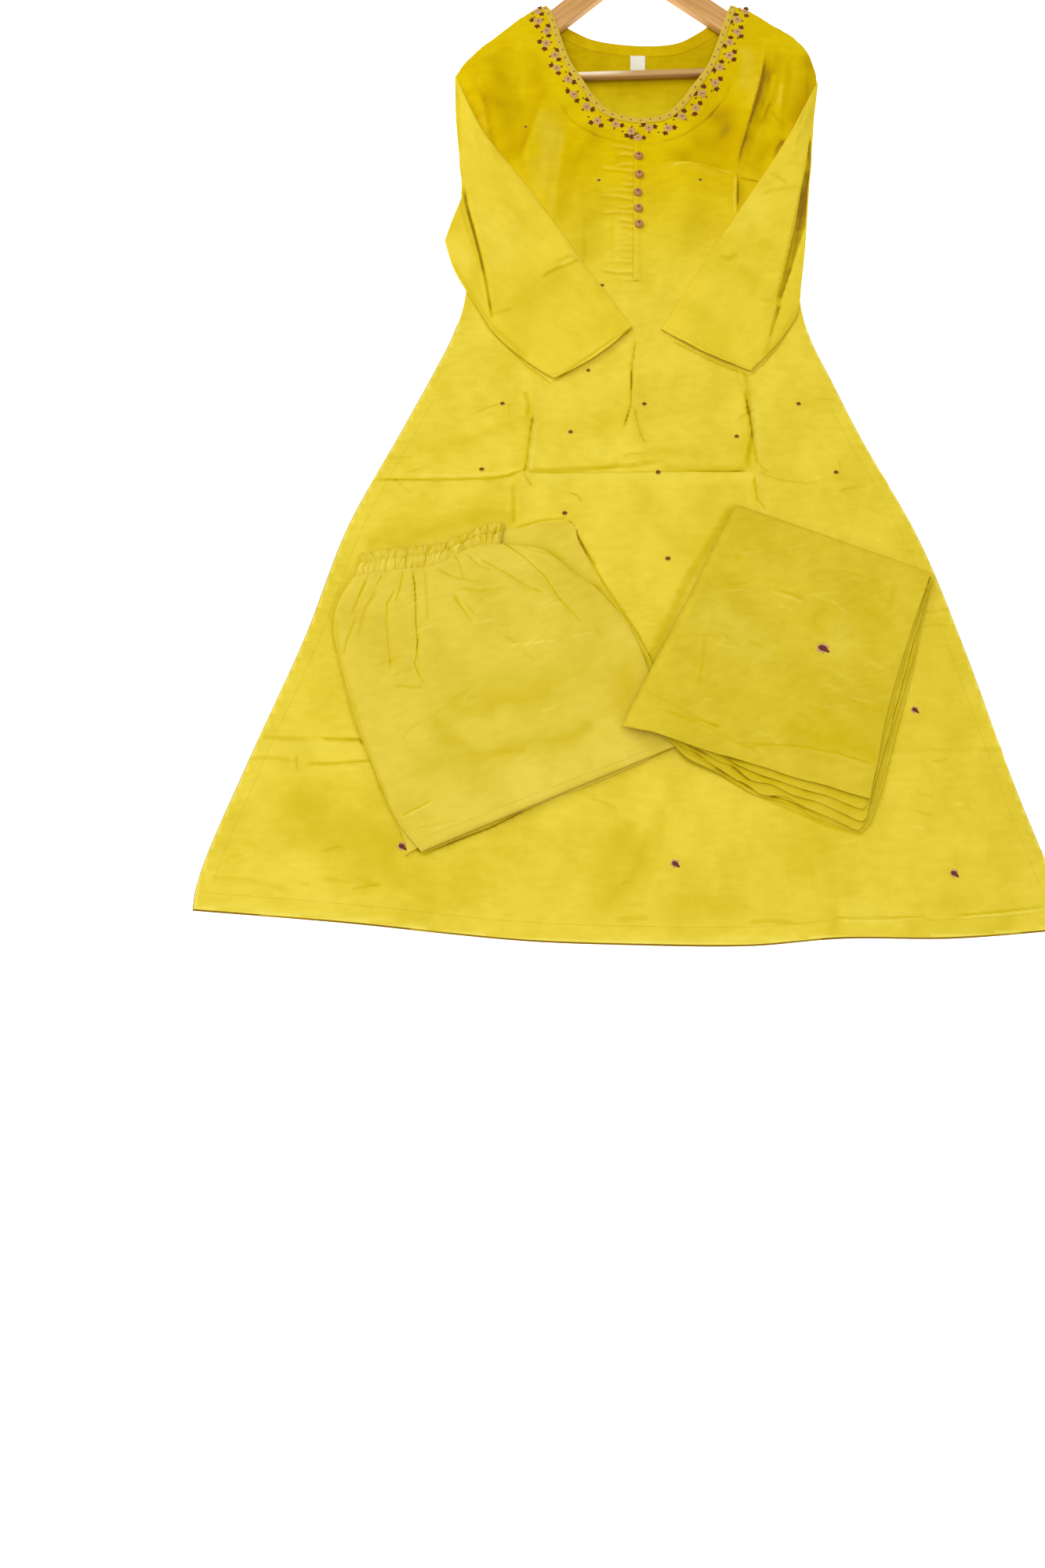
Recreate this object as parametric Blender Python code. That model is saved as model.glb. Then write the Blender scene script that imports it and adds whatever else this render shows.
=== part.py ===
"""Three-piece salwar kameez suit laid flat: a flared kurta on a wooden hanger, with the folded trousers
and the folded dupatta lying on its skirt. All sizes below are in millimetres unless a name says otherwise."""

import math
from collections import namedtuple

import bmesh
import bpy
from mathutils import Matrix, Vector

MM = 0.001  # metres in a millimetre

# Cloth
CLOTH = 1.2  # wall of one layer of cotton
GAP = 0.3  # clearance between pieces that are sewn or laid together
BACK_TOP = CLOTH  # the back panel lies on the floor
FRONT_REST = BACK_TOP + GAP  # underside of the front panel where it lies on the back

# Wooden hanger, in its own plane: p runs to the right of its axis, q up it from the bar's centre
HANGER_CENTRE = (1.0, 403.0)
HANGER_TURN = math.radians(3.5)
HANGER_FLOOR = 3.0  # clear of the back panel and its neck facing
ARM_THICK = 12.0
ARM_WIDTH = 29.0
ARM_SLOPE = math.radians(41.0)
ARM_REACH = 190.0  # from the axis to each arm's end
ARM_FORK = 147.0  # the arms' lower edges meet this far above the bar's centre
HANGER_TOP = 182.0  # flat top of the joint that takes the hook
BAR_RADIUS = 5.25
BAR_SOCKET = 9.0  # how far the bar enters each arm
HOOK_WIRE = 3.6
HOOK_STEM = 22.0
HOOK_RADIUS = 26.0
HOOK_SWEEP = math.radians(285.0)
HOOK_STEPS = 26
ARM_END = 9.0  # length of each arm's rounded end
ARM_ROUND = 3.2  # rounding of the arms' long edges
SEAM_RISE = 6.6  # the shoulder seams stand this high beside the arms
SEAM_MARGIN = 9.0  # from an arm's upper edge out to where the cloth is down at seam height
TENT_STEEPNESS = 1.35  # above 1, the front is fully raised before it reaches the arm
TENT_MIDDLE = (60.0, 7.0, 44.0)  # half length under the bar, flat run below it and fall of the cloth there
TENT_SIDE = (80.0, 20.0, 72.0)  # the same towards the arms' ends: width of the change, run and fall
TENT_EDGE = 9.0  # the sides of the tent come down over this width
HANGER_LIFT = HANGER_FLOOR + ARM_THICK + GAP - FRONT_REST + 0.4

# Kurta neck and shoulders
NECK_LEFT = (-113.0, 499.0)  # high points of the shoulders
NECK_RIGHT = (113.0, 505.0)
PIPING_WIDTH = 7.0
PIPING_THICK = 1.5
PIPING_REACH = 10.0  # the piping clears all of the front this near to it
FACING_WIDTH = 15.0
FACING_THICK = 0.8
FACING_START = 16.0  # its ends stop this far inside the shoulders' high points
LABEL_SIZE = (18.0, 21.0, 0.8)
LABEL_TOP = (0.0, 437.0)

# Button placket down the chest
PLACKET_X = 1.5
PLACKET_WIDTH = 11.0
PLACKET_ENDS = (121.0, 316.0)
PLACKET_THICK = 1.0
BUTTON_DIAMETER = 10.5
BUTTON_HEIGHT = 4.5
BUTTON_Y = (291.0, 265.0, 240.0, 218.0, 196.0)

Side = namedtuple("Side", "y left right")
BODY_SIDES = (
    Side(-660.0, -456.0, 456.0),
    Side(-604.0, -453.0, 443.0),
    Side(-480.0, -412.0, 402.0),
    Side(-330.0, -358.0, 358.0),
    Side(-200.0, -319.0, 314.0),
    Side(-76.0, -263.0, 254.0),
    Side(0.0, -229.0, 221.0),
    Side(50.0, -209.0, 200.0),
    Side(97.0, -199.0, 190.0),
    Side(150.0, -200.0, 189.0),
    Side(205.0, -202.0, 192.0),
    Side(250.0, -192.0, 183.0),
    Side(310.0, -190.0, 181.0),
    Side(360.0, -202.0, 195.0),
    Side(397.0, -220.0, 216.0),
    Side(520.0, -220.0, 216.0),
)

Edge = namedtuple("Edge", "x y")
HEM = (Edge(-456.0, -636.0), Edge(-300.0, -645.0), Edge(-120.0, -659.0), Edge(0.0, -661.0),
       Edge(120.0, -659.0), Edge(215.0, -649.0), Edge(330.0, -646.0), Edge(456.0, -633.0))
SHOULDER_LEFT = (Edge(-220.0, 397.0), Edge(-200.0, 427.0), Edge(-178.0, 448.0), Edge(-148.0, 477.0),
                 Edge(-128.0, 494.0), Edge(*NECK_LEFT))
SHOULDER_RIGHT = (Edge(*NECK_RIGHT), Edge(134.0, 500.0), Edge(160.0, 480.0), Edge(190.0, 460.0),
                  Edge(206.0, 438.0), Edge(216.0, 402.0))
NECK_FRONT = (Edge(*NECK_LEFT), Edge(-106.0, 483.0), Edge(-99.0, 462.0), Edge(-89.0, 430.0),
              Edge(-74.0, 398.0), Edge(-49.0, 366.0), Edge(-25.0, 351.0), Edge(8.0, 346.0),
              Edge(38.0, 355.0), Edge(68.0, 389.0), Edge(84.0, 413.0), Edge(96.0, 446.0),
              Edge(105.0, 478.0), Edge(*NECK_RIGHT))
NECK_BACK = (Edge(*NECK_LEFT), Edge(-100.0, 486.0), Edge(-80.0, 472.0), Edge(-50.0, 458.0),
             Edge(0.0, 452.0), Edge(45.0, 456.0), Edge(76.0, 474.0), Edge(98.0, 494.0), Edge(*NECK_RIGHT))

SHOULDER_STEPS = (0.0, 0.09, 0.3, 0.5, 0.68, 0.85)  # columns from the shoulder's tip towards the neck
NECK_COLUMNS = 18
NECK_POINT_STEP = 0.02  # share of the neck's run to an extra column beside each high point
CHEST_Y = 290.0  # straight rows below this, rows that bend with the neck above it
CHEST_ROWS = 7
EDGE_ROWS = 2  # rows between the arm's upper edge and the shoulder seam
KNEE_ROOM = 6.0  # least distance between those two
HEM_ROWS_END = -600.0
ROW_PITCH = 34.0
LEAST_ROW = 3.0  # rows closer than this are made one

# Soft ridges pressed or draped into the front: each runs from (x0, y0) to (x1, y1)
Fold = namedtuple("Fold", "x0 y0 x1 y1 height half_width")
FRONT_FOLDS = (
    Fold(-288.0, -143.0, -125.0, -134.0, 1.6, 9.0),  # pressed crease across the thigh
    Fold(-125.0, -134.0, 130.0, -127.0, 1.2, 9.0),
    Fold(130.0, -127.0, 276.0, -128.0, 1.6, 9.0),
    Fold(-396.0, -450.0, -366.0, -450.0, 1.6, 9.0),  # pressed creases across the lower skirt
    Fold(-400.0, -472.0, -366.0, -472.0, 1.2, 9.0),
    Fold(352.0, -445.0, 388.0, -443.0, 1.6, 9.0),
    Fold(-117.0, -20.0, -121.0, -131.0, 1.6, 9.0),  # lengthwise creases of the upper skirt
    Fold(127.0, -30.0, 134.0, -127.0, 1.8, 9.0),
    Fold(-3.0, 40.0, -5.0, -36.0, 2.6, 9.0),  # pinched line below the placket
    Fold(-5.0, -36.0, -14.0, -74.0, 1.4, 10.0),
    Fold(-5.0, -36.0, 12.0, -90.0, 1.6, 10.0),
    Fold(-98.0, 370.0, -124.0, 300.0, 4.0, 15.0),  # drape hanging from the left shoulder
    Fold(-124.0, 300.0, -119.0, 274.0, 4.0, 13.0),
    Fold(-176.0, 415.0, -158.0, 335.0, 4.0, 11.0),
    Fold(-62.0, 255.0, -70.0, 190.0, 2.0, 16.0),
    Fold(138.0, 430.0, 119.0, 265.0, 4.6, 12.0),  # folds hanging from the right shoulder
    Fold(168.0, 425.0, 152.0, 335.0, 4.6, 11.0),
    Fold(192.0, 415.0, 180.0, 365.0, 3.6, 9.0),
    Fold(-206.0, -604.0, -190.0, -638.0, 1.8, 14.0),  # slack of the hem
    Fold(60.0, -520.0, 85.0, -625.0, 2.2, 22.0),
    Fold(205.0, -575.0, 214.0, -635.0, 1.6, 14.0),
)

# Sleeves: each row runs across the tube, from the edge that lies on the chest to the underarm edge
Cross = namedtuple("Cross", "upper_x upper_y lower_x lower_y bow fold loft")
SLEEVE_LEFT = (
    Cross(-222.0, 391.0, -226.0, 168.0, 13.0, 0.68, 3.4),
    Cross(-190.0, 324.0, -213.0, 128.0, 0.0, 0.60, 6.0),
    Cross(-148.0, 268.0, -189.0, 86.0, 0.0, 0.78, 6.4),
    Cross(-106.0, 207.0, -164.0, 46.0, 0.0, 0.93, 6.2),
    Cross(-66.0, 146.0, -137.0, 19.0, -3.0, 0.97, 6.0),
    Cross(-28.0, 92.0, -110.0, -2.0, -6.0, 0.97, 5.4),
    Cross(-5.0, 58.0, -94.0, -11.0, -8.0, 0.97, 4.6),
)
SLEEVE_RIGHT = (
    Cross(218.0, 396.0, 197.0, 165.0, 0.0, 0.36, 3.4),
    Cross(190.0, 339.0, 192.0, 122.0, 0.0, 0.50, 6.4),
    Cross(158.0, 281.0, 186.0, 80.0, 0.0, 0.64, 7.0),
    Cross(122.0, 220.0, 167.0, 47.0, 0.0, 0.82, 6.6),
    Cross(82.0, 152.0, 150.0, 25.0, 0.0, 0.95, 6.2),
    Cross(46.0, 88.0, 137.0, 11.0, 3.0, 0.97, 5.4),
    Cross(28.0, 56.0, 131.0, 4.0, 5.0, 0.97, 4.6),
)
SLEEVE_EDGE = 3.2  # height of the flattened tube at its folded edges
SLEEVE_FLAP = 3.8  # and past its lengthwise fold
SLEEVE_CREASE = Fold(-103.0, 122.0, -72.0, 141.0, 1.6, 9.0)  # pinch at the left elbow
SLEEVE_SECTIONS = 15
SLEEVE_ACROSS = (0.0, 0.04, 0.12, 0.3, 0.5, 0.7, 0.9, 1.0)  # points from an edge to the lengthwise fold
SLEEVE_ROUND = 16.0
FOLD_STEP = 7.0  # width of the step down past the lengthwise fold
INNER_INSET = 2.6
SLEEVE_REACH = 17.0  # a sleeve clears all of the front this near to it

# Trousers, folded lengthwise and then in three, waistband up
Across = namedtuple("Across", "left_x left_y right_x right_y")
TROUSER_FRONT = (
    Across(-309.0, -265.0, -148.0, -221.0),
    Across(-328.0, -295.0, -104.0, -225.0),
    Across(-330.0, -327.0, -67.0, -252.0),
    Across(-322.0, -362.0, -36.0, -276.0),
    Across(-310.0, -398.0, -12.0, -305.0),
    Across(-296.0, -434.0, 5.0, -338.0),
    Across(-281.0, -470.0, 17.0, -371.0),
    Across(-265.0, -506.0, 27.0, -402.0),
    Across(-247.0, -541.0, 36.0, -430.0),
    Across(-222.0, -571.0, 43.0, -449.0),
)
WAIST_TOP = (Edge(-305.0, -235.0), Edge(-276.0, -230.0), Edge(-254.0, -227.0), Edge(-213.0, -220.0),
             Edge(-193.0, -211.0), Edge(-158.0, -195.0), Edge(-146.0, -194.0))
WAIST_SEAM = (Edge(-308.5, -264.5), Edge(-255.0, -255.0), Edge(-222.0, -250.0), Edge(-180.0, -227.0),
              Edge(-148.5, -221.5))
LEG_END = (Edge(-140.0, -200.0), Edge(-75.0, -190.0), Edge(-61.0, -217.0), Edge(-30.0, -276.0),
           Edge(1.0, -321.0), Edge(20.0, -358.0), Edge(40.0, -446.0), Edge(-214.0, -561.0),
           Edge(-241.0, -556.0), Edge(-306.0, -398.0), Edge(-325.0, -325.0), Edge(-306.0, -262.0),
           Edge(-296.0, -238.0), Edge(-200.0, -219.0))
LEG_BUNDLE = (Edge(-160.0, -212.0), Edge(-152.0, -238.0), Edge(-104.0, -244.0), Edge(-74.0, -262.0),
              Edge(-22.0, -310.0), Edge(7.0, -375.0), Edge(28.0, -444.0), Edge(-216.0, -553.0), Edge(-236.0, -541.0),
              Edge(-298.0, -398.0), Edge(-317.0, -325.0), Edge(-300.0, -262.0), Edge(-292.0, -243.0),
              Edge(-200.0, -223.0))
LEG_CENTRE = (-150.0, -375.0)
TROUSER_LOW = 2.6  # the lowest layers, which reach out past the others
TROUSER_LOFT = 5.4  # folded legs above their lowest layer
TROUSER_THIN = (0.45, -90.0, 110.0)  # their share of it at the right, from this x and over this width
TROUSER_ROUND = 14.0
TROUSER_LENGTH = 330.0  # waist seam to the fold at the bottom, as they lie
TROUSER_ROWS = 15
TROUSER_GATHERS = 24
GATHER_DEPTH = 2.2
GATHER_RUN = 0.5  # share of the trouser front that the gathers run down
SEAM_BOW_RUN = 0.3  # the bow of the waist seam dies out over this share of the front
WAIST_FRILLS = 26
WAIST_REST = 3.1  # the waistband lies this far above the lowest layers
FRILL_DEPTH = 1.6
FRILL_SWAY = 1.6  # how far the top edge waves up and down
FRILL_POINTS = 3  # columns to each frill
FRILL_ROWS = 4
WAIST_THICK = 2.2

# Dupatta, folded to a thick square: corners in order round it, from the one that lies on the trousers
DUPATTA = (Edge(-15.0, -431.0), Edge(243.0, -506.0), Edge(319.0, -252.0), Edge(109.0, -175.0))
LEAF_LOW = (Edge(-8.0, -428.0), Edge(41.0, -450.0), Edge(61.0, -465.0), Edge(92.0, -478.0),
            Edge(111.0, -489.0), Edge(140.0, -503.0), Edge(164.0, -507.0), Edge(188.0, -523.0),
            Edge(207.0, -531.0), Edge(236.0, -540.0), Edge(251.0, -518.0), Edge(268.0, -462.0),
            Edge(281.0, -431.0), Edge(298.0, -370.0), Edge(327.0, -271.0), Edge(320.0, -259.0),
            Edge(112.0, -182.0))
LEAF_MIDDLE = (Edge(2.0, -434.0), Edge(38.0, -446.0), Edge(70.0, -462.0), Edge(110.0, -474.0),
               Edge(150.0, -491.0), Edge(190.0, -504.0), Edge(236.0, -525.0), Edge(252.0, -500.0),
               Edge(262.0, -461.0), Edge(281.0, -401.0), Edge(300.0, -340.0), Edge(322.0, -266.0),
               Edge(317.0, -261.0), Edge(115.0, -187.0), Edge(0.0, -426.0))
LEAF_HIGH = (Edge(8.0, -432.0), Edge(23.0, -438.0), Edge(70.0, -451.0), Edge(119.0, -469.0),
             Edge(190.0, -488.0), Edge(238.0, -503.0), Edge(250.0, -460.0), Edge(263.0, -404.0),
             Edge(288.0, -331.0), Edge(305.0, -272.0), Edge(119.0, -195.0), Edge(8.0, -422.0))
DUPATTA_CENTRE = (164.0, -341.0)
DUPATTA_GRID = (0.0, 0.012, 0.04, 0.1, 0.18, 0.27, 0.36, 0.46, 0.58, 0.7, 0.82, 0.92, 1.0)  # rows and columns
DUPATTA_ROUND = 12.0
DUPATTA_BOW = 7.0  # how far the right side curves in
LEAST_LIFT = 0.05  # share of the full height that a rounded edge starts from
LEAF_THICK = 3.0
LEAF_PITCH = 3.7
LEAF_ROUND = 1.0
LEAF_NOTCH = 9.0  # how deep the gap between two leaves runs in
PILE_POINTS = 46
PILE_CAPS = (0.35, 0.7, 0.88)  # rings across the flat top and bottom of a pile, as shares of its outline
DUPATTA_LOFT = 3 * LEAF_PITCH
CORNER_LIFT = 9.6  # how far the trousers raise the dupatta's corner
CORNER_SPAN = (30.0, 165.0)  # distances from that corner where the raise starts to fall and ends


def ease(t):
    """0 to 1 with soft ends."""
    t = min(max(t, 0.0), 1.0)
    return t * t * (3.0 - 2.0 * t)


def round_over(distance, radius):
    """Height, as a share, of a rounded edge this far in from its rim."""
    t = min(max(distance / radius, 0.0), 1.0)
    return math.sqrt(1.0 - (1.0 - t) ** 2)


def blend(a, b, t):
    return a + (b - a) * t


def read(table, column, at):
    """A column's value between the table's rows, on a smooth curve, by the table's first column."""
    keys = [row[0] for row in table]
    values = [getattr(row, column) for row in table]
    at = min(max(at, keys[0]), keys[-1])
    i = max(k for k in range(len(keys) - 1) if keys[k] <= at)

    def slope(k):
        low, high = max(k - 1, 0), min(k + 1, len(keys) - 1)
        return (values[high] - values[low]) / (keys[high] - keys[low])

    span = keys[i + 1] - keys[i]
    t = (at - keys[i]) / span
    return ((2 * t**3 - 3 * t**2 + 1) * values[i] + (t**3 - 2 * t**2 + t) * span * slope(i)
            + (3 * t**2 - 2 * t**3) * values[i + 1] + (t**3 - t**2) * span * slope(i + 1))


def along_rows(table, column, t):
    """A column's value at a share t of the way through the table's rows, on a smooth curve."""
    place = min(max(t, 0.0), 1.0) * (len(table) - 1)
    i = min(int(place), len(table) - 2)
    values = [getattr(table[min(max(k, 0), len(table) - 1)], column) for k in range(i - 1, i + 3)]
    a, b, c, d = values
    u = place - i
    return 0.5 * (2 * b + (c - a) * u + (2 * a - 5 * b + 4 * c - d) * u**2 + (3 * b - a - 3 * c + d) * u**3)


def fold_height(fold, x, y):
    """Height of one soft ridge at a point, fading towards its ends."""
    run = Vector((fold.x1 - fold.x0, fold.y1 - fold.y0))
    place = Vector((x - fold.x0, y - fold.y0))
    t = place.dot(run) / run.length_squared
    off = abs(place.cross(run)) / run.length / fold.half_width
    past = max(-t, t - 1.0, 0.0) * run.length / fold.half_width
    return fold.height * math.exp(-(off**2) - past**2)


def hanger_to_row(p, q):
    c, s = math.cos(HANGER_TURN), math.sin(HANGER_TURN)
    return (HANGER_CENTRE[0] + c * p - s * q, HANGER_CENTRE[1] + s * p + c * q)


def row_to_hanger(x, y):
    c, s = math.cos(HANGER_TURN), math.sin(HANGER_TURN)
    x, y = x - HANGER_CENTRE[0], y - HANGER_CENTRE[1]
    return (c * x + s * y, c * y - s * x)


def arm_upper_y(x):
    """Where the upper edge of an arm crosses this x."""
    slope = ARM_SLOPE + HANGER_TURN if x < HANGER_CENTRE[0] else -(ARM_SLOPE - HANGER_TURN)
    apex_x, apex_y = hanger_to_row(0.0, ARM_FORK + ARM_WIDTH / math.cos(ARM_SLOPE))
    return apex_y + (x - apex_x) * math.tan(slope)


def top_edge(x, neck):
    """The panel's upper edge at this x: shoulder, neck, shoulder."""
    if x <= NECK_LEFT[0]:
        return read(SHOULDER_LEFT, "y", x)
    if x >= NECK_RIGHT[0]:
        return read(SHOULDER_RIGHT, "y", x)
    return read(neck, "y", x)


def panel_columns():
    """Shares across the panel of its columns, close together where the neck is steep."""
    tip_left, tip_right = BODY_SIDES[-1].left, BODY_SIDES[-1].right
    steps = 400
    xs = [blend(NECK_LEFT[0], NECK_RIGHT[0], i / steps) for i in range(steps + 1)]
    run = [0.0]
    for a, b in zip(xs, xs[1:]):
        run.append(run[-1] + math.hypot(b - a, read(NECK_FRONT, "y", b) - read(NECK_FRONT, "y", a)))
    goals = [k / NECK_COLUMNS for k in range(NECK_COLUMNS + 1)]
    goals = sorted(goals + [NECK_POINT_STEP, 1.0 - NECK_POINT_STEP])
    neck = [xs[min(range(len(run)), key=lambda i: abs(run[i] - goal * run[-1]))] for goal in goals]
    left = [blend(tip_left, NECK_LEFT[0], t) for t in SHOULDER_STEPS]
    right = [blend(tip_right, NECK_RIGHT[0], t) for t in reversed(SHOULDER_STEPS)]
    return [(x - tip_left) / (tip_right - tip_left) for x in left + neck + right]


def skirt_rows():
    """Heights of the straight rows, from above the hem to the chest, with rows beside each cross crease."""
    count = round((CHEST_Y - HEM_ROWS_END) / ROW_PITCH)
    rows = [blend(HEM_ROWS_END, CHEST_Y, i / count) for i in range(count + 1)]
    level = [fold for fold in FRONT_FOLDS if abs(fold.y0 - fold.y1) < fold.half_width + 1.0]
    for fold in level:
        y, beside = round((fold.y0 + fold.y1) / 2), fold.half_width
        rows = [row for row in rows if abs(row - y) > 1.4 * beside or row == CHEST_Y]
        rows += [y - beside, y, y + beside]
    rows = sorted(rows)
    return [row for row, after in zip(rows, rows[1:]) if after - row > LEAST_ROW] + [rows[-1]]


def body_place(share, row, rows, neck):
    """(x, y) of a grid point of the front or back: the hem is row 0 and the upper edge the last row."""
    tip_left, tip_right = BODY_SIDES[-1].left, BODY_SIDES[-1].right
    if row == 0:
        x = blend(BODY_SIDES[0].left, BODY_SIDES[0].right, share)
        return x, read(HEM, "y", x)
    if row <= len(rows):
        y = rows[row - 1]
    else:
        x = blend(tip_left, tip_right, share)
        top = top_edge(x, neck)
        on_neck = NECK_LEFT[0] <= x <= NECK_RIGHT[0]
        knee = top - PIPING_WIDTH if on_neck else min(arm_upper_y(x), top - KNEE_ROOM)
        step = row - len(rows)
        if step <= CHEST_ROWS:
            y = blend(CHEST_Y, knee, step / CHEST_ROWS)
        else:
            y = blend(knee, top, (step - CHEST_ROWS) / EDGE_ROWS)
    return blend(read(BODY_SIDES, "left", y), read(BODY_SIDES, "right", y), share), y


def over_arm(x, y):
    """0 at the shoulder seam, 1 from the arm's upper edge inwards."""
    on_neck = NECK_LEFT[0] < x < NECK_RIGHT[0]
    margin = SEAM_MARGIN if on_neck else max(top_edge(x, NECK_FRONT) - arm_upper_y(x), KNEE_ROOM)
    return min(max((arm_upper_y(x) + margin - y) / margin, 0.0), 1.0)


def on_hanger(x, y):
    """0 to 1 where the hanger holds the cloth up, falling off below its bar and beside its ends."""
    p, q = row_to_hanger(x, y)
    half_length, middle_run, middle_fall = TENT_MIDDLE
    change, side_run, side_fall = TENT_SIDE
    away = ease((abs(p) - half_length) / change)
    below = 1.0 - ease((-q - blend(middle_run, side_run, away)) / blend(middle_fall, side_fall, away))
    left, right = read(BODY_SIDES, "left", y), read(BODY_SIDES, "right", y)
    return below * min(max(min(x - left, right - x) / TENT_EDGE, 0.0), 1.0)


def back_under(x, y):
    """Underside of the back panel: on the floor, and raised to the shoulder seams beside the arms."""
    return SEAM_RISE * (1.0 - over_arm(x, y)) ** 2 * on_hanger(x, y)


def front_under(x, y):
    """Underside of the front panel: on the back panel, tented over the hanger, with its folds."""
    climb = min(TENT_STEEPNESS * over_arm(x, y), 1.0)
    tent = blend(SEAM_RISE, HANGER_LIFT, math.sin(climb * math.pi / 2)) * on_hanger(x, y)
    return FRONT_REST + tent + sum(fold_height(fold, x, y) for fold in FRONT_FOLDS)


def thickened(under, wall):
    """The upper surface of a wall of this thickness, measured square to its slope."""
    def over(x, y):
        step = 2.0
        slope_x = (under(x + step, y) - under(x - step, y)) / (2 * step)
        slope_y = (under(x, y + step) - under(x, y - step)) / (2 * step)
        return under(x, y) + wall * min(math.sqrt(1.0 + slope_x**2 + slope_y**2), 2.2)
    return over


front_over = thickened(front_under, CLOTH)


def seated(surface, reach):
    """A height that clears a surface by GAP anywhere within reach, for a piece that lies on it."""
    turns = [k * math.pi / 4 for k in range(8)]
    around = [(r * math.cos(a), r * math.sin(a)) for r in (0.0, reach / 2, reach) for a in turns]
    return lambda x, y: GAP + max(surface(x + dx, y + dy) for dx, dy in around)


def clear_scene():
    for obj in list(bpy.data.objects):
        bpy.data.objects.remove(obj)


def material(name, colour, roughness, metallic=0.0):
    made = bpy.data.materials.new(name)
    made.use_nodes = True
    shader = made.node_tree.nodes["Principled BSDF"]
    shader.inputs["Base Color"].default_value = (*colour, 1.0)
    shader.inputs["Roughness"].default_value = roughness
    shader.inputs["Metallic"].default_value = metallic
    made.diffuse_color = (*colour, 1.0)
    return made


def add_object(name, bm, finish):
    """A named object from a bmesh in millimetres."""
    bmesh.ops.scale(bm, vec=(MM, MM, MM), verts=bm.verts)
    bmesh.ops.recalc_face_normals(bm, faces=bm.faces)
    mesh = bpy.data.meshes.new(name)
    bm.to_mesh(mesh)
    bm.free()
    mesh.shade_smooth()
    mesh.set_sharp_from_angle(angle=math.radians(40.0))
    mesh.materials.append(finish)
    obj = bpy.data.objects.new(name, mesh)
    bpy.context.scene.collection.objects.link(obj)
    return obj


def wall(name, columns, rows, place, under, over, finish):
    """A sheet of cloth on a grid: place(column, row) gives (x, y), and two surfaces its two sides."""
    bm = bmesh.new()
    bmesh.ops.create_grid(bm, x_segments=columns, y_segments=rows, size=0.5)
    for vertex in bm.verts:
        column = round((vertex.co.x + 0.5) * columns)
        row = round((vertex.co.y + 0.5) * rows)
        x, y = place(column, row)
        vertex.co = (x, y, under(x, y))
    raised = bmesh.ops.extrude_face_region(bm, geom=bm.faces[:])
    for vertex in (item for item in raised["geom"] if isinstance(item, bmesh.types.BMVert)):
        vertex.co.z = over(vertex.co.x, vertex.co.y)
    return add_object(name, bm, finish)


def tube(name, outer, inner, finish):
    """A hollow flattened tube, open at both ends, from matching outer and inner rings of points."""
    bm = bmesh.new()
    loops = [[bm.verts.new(point) for point in ring] for ring in outer + inner[::-1]]
    for first, second in zip(loops, loops[1:] + loops[:1]):
        for i in range(len(first)):
            bm.faces.new((first[i - 1], first[i], second[i], second[i - 1]))
    return add_object(name, bm, finish)


def outline_reach(outline, centre, angle):
    """Distance from the centre to an outline along an angle."""
    way = Vector((math.cos(angle), math.sin(angle)))
    found = 0.0
    for a, b in zip(outline, outline[1:] + outline[:1]):
        start = Vector((a.x - centre[0], a.y - centre[1]))
        side = Vector((b.x - a.x, b.y - a.y))
        across = way.cross(side)
        if abs(across) < 1e-9:
            continue
        t, u = start.cross(side) / across, start.cross(way) / across
        if t > 0.0 and -1e-9 <= u <= 1.0 + 1e-9:
            found = max(found, t)
    return found


def pile(name, centre, rings, rest, points, finish):
    """Hidden layers as one rounded solid: rings of (outline, inset, height) from its underside to its top."""
    bm = bmesh.new()
    angles = [2 * math.pi * i / points for i in range(points)]

    def ring(outline, inset, height, share=1.0):
        made = []
        for angle in angles:
            r = (outline_reach(outline, centre, angle) - inset) * share
            x, y = centre[0] + r * math.cos(angle), centre[1] + r * math.sin(angle)
            made.append(bm.verts.new((x, y, rest(x, y) + height)))
        return made

    loops = [ring(*rings[0], share) for share in PILE_CAPS]
    loops += [ring(*entry) for entry in rings]
    loops += [ring(*rings[-1], share) for share in reversed(PILE_CAPS)]
    for first, second in zip(loops, loops[1:]):
        for i in range(points):
            bm.faces.new((first[i - 1], first[i], second[i], second[i - 1]))
    for loop, height in ((loops[0], rings[0][2]), (loops[-1], rings[-1][2])):
        middle = bm.verts.new((*centre, rest(*centre) + height))
        for i in range(points):
            bm.faces.new((loop[i - 1], loop[i], middle))
    return add_object(name, bm, finish)


def strip(name, path, width_way, width, under, over, steps, finish):
    """A narrow band along a path of points: width_way(i) is its direction across, steps its cross points."""
    def place(column, row):
        x, y = path[column]
        way = width_way(column)
        return x + way[0] * width * steps[row], y + way[1] * width * steps[row]
    return wall(name, len(path) - 1, len(steps) - 1, place, under, over, finish)


def make_body(cotton):
    shares, rows = panel_columns(), skirt_rows()
    last_row = len(rows) + CHEST_ROWS + EDGE_ROWS
    wall("kurta_front", len(shares) - 1, last_row,
         lambda c, r: body_place(shares[c], r, rows, NECK_FRONT), front_under, front_over, cotton)
    back_rows = [y for y in rows if y > CHEST_Y - 1.0 or round(y / ROW_PITCH) % 2 == 0]
    wall("kurta_back", len(shares) - 1, len(back_rows) + CHEST_ROWS + EDGE_ROWS,
         lambda c, r: body_place(shares[c], r, back_rows, NECK_BACK),
         back_under, lambda x, y: back_under(x, y) + BACK_TOP, cotton)


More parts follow.
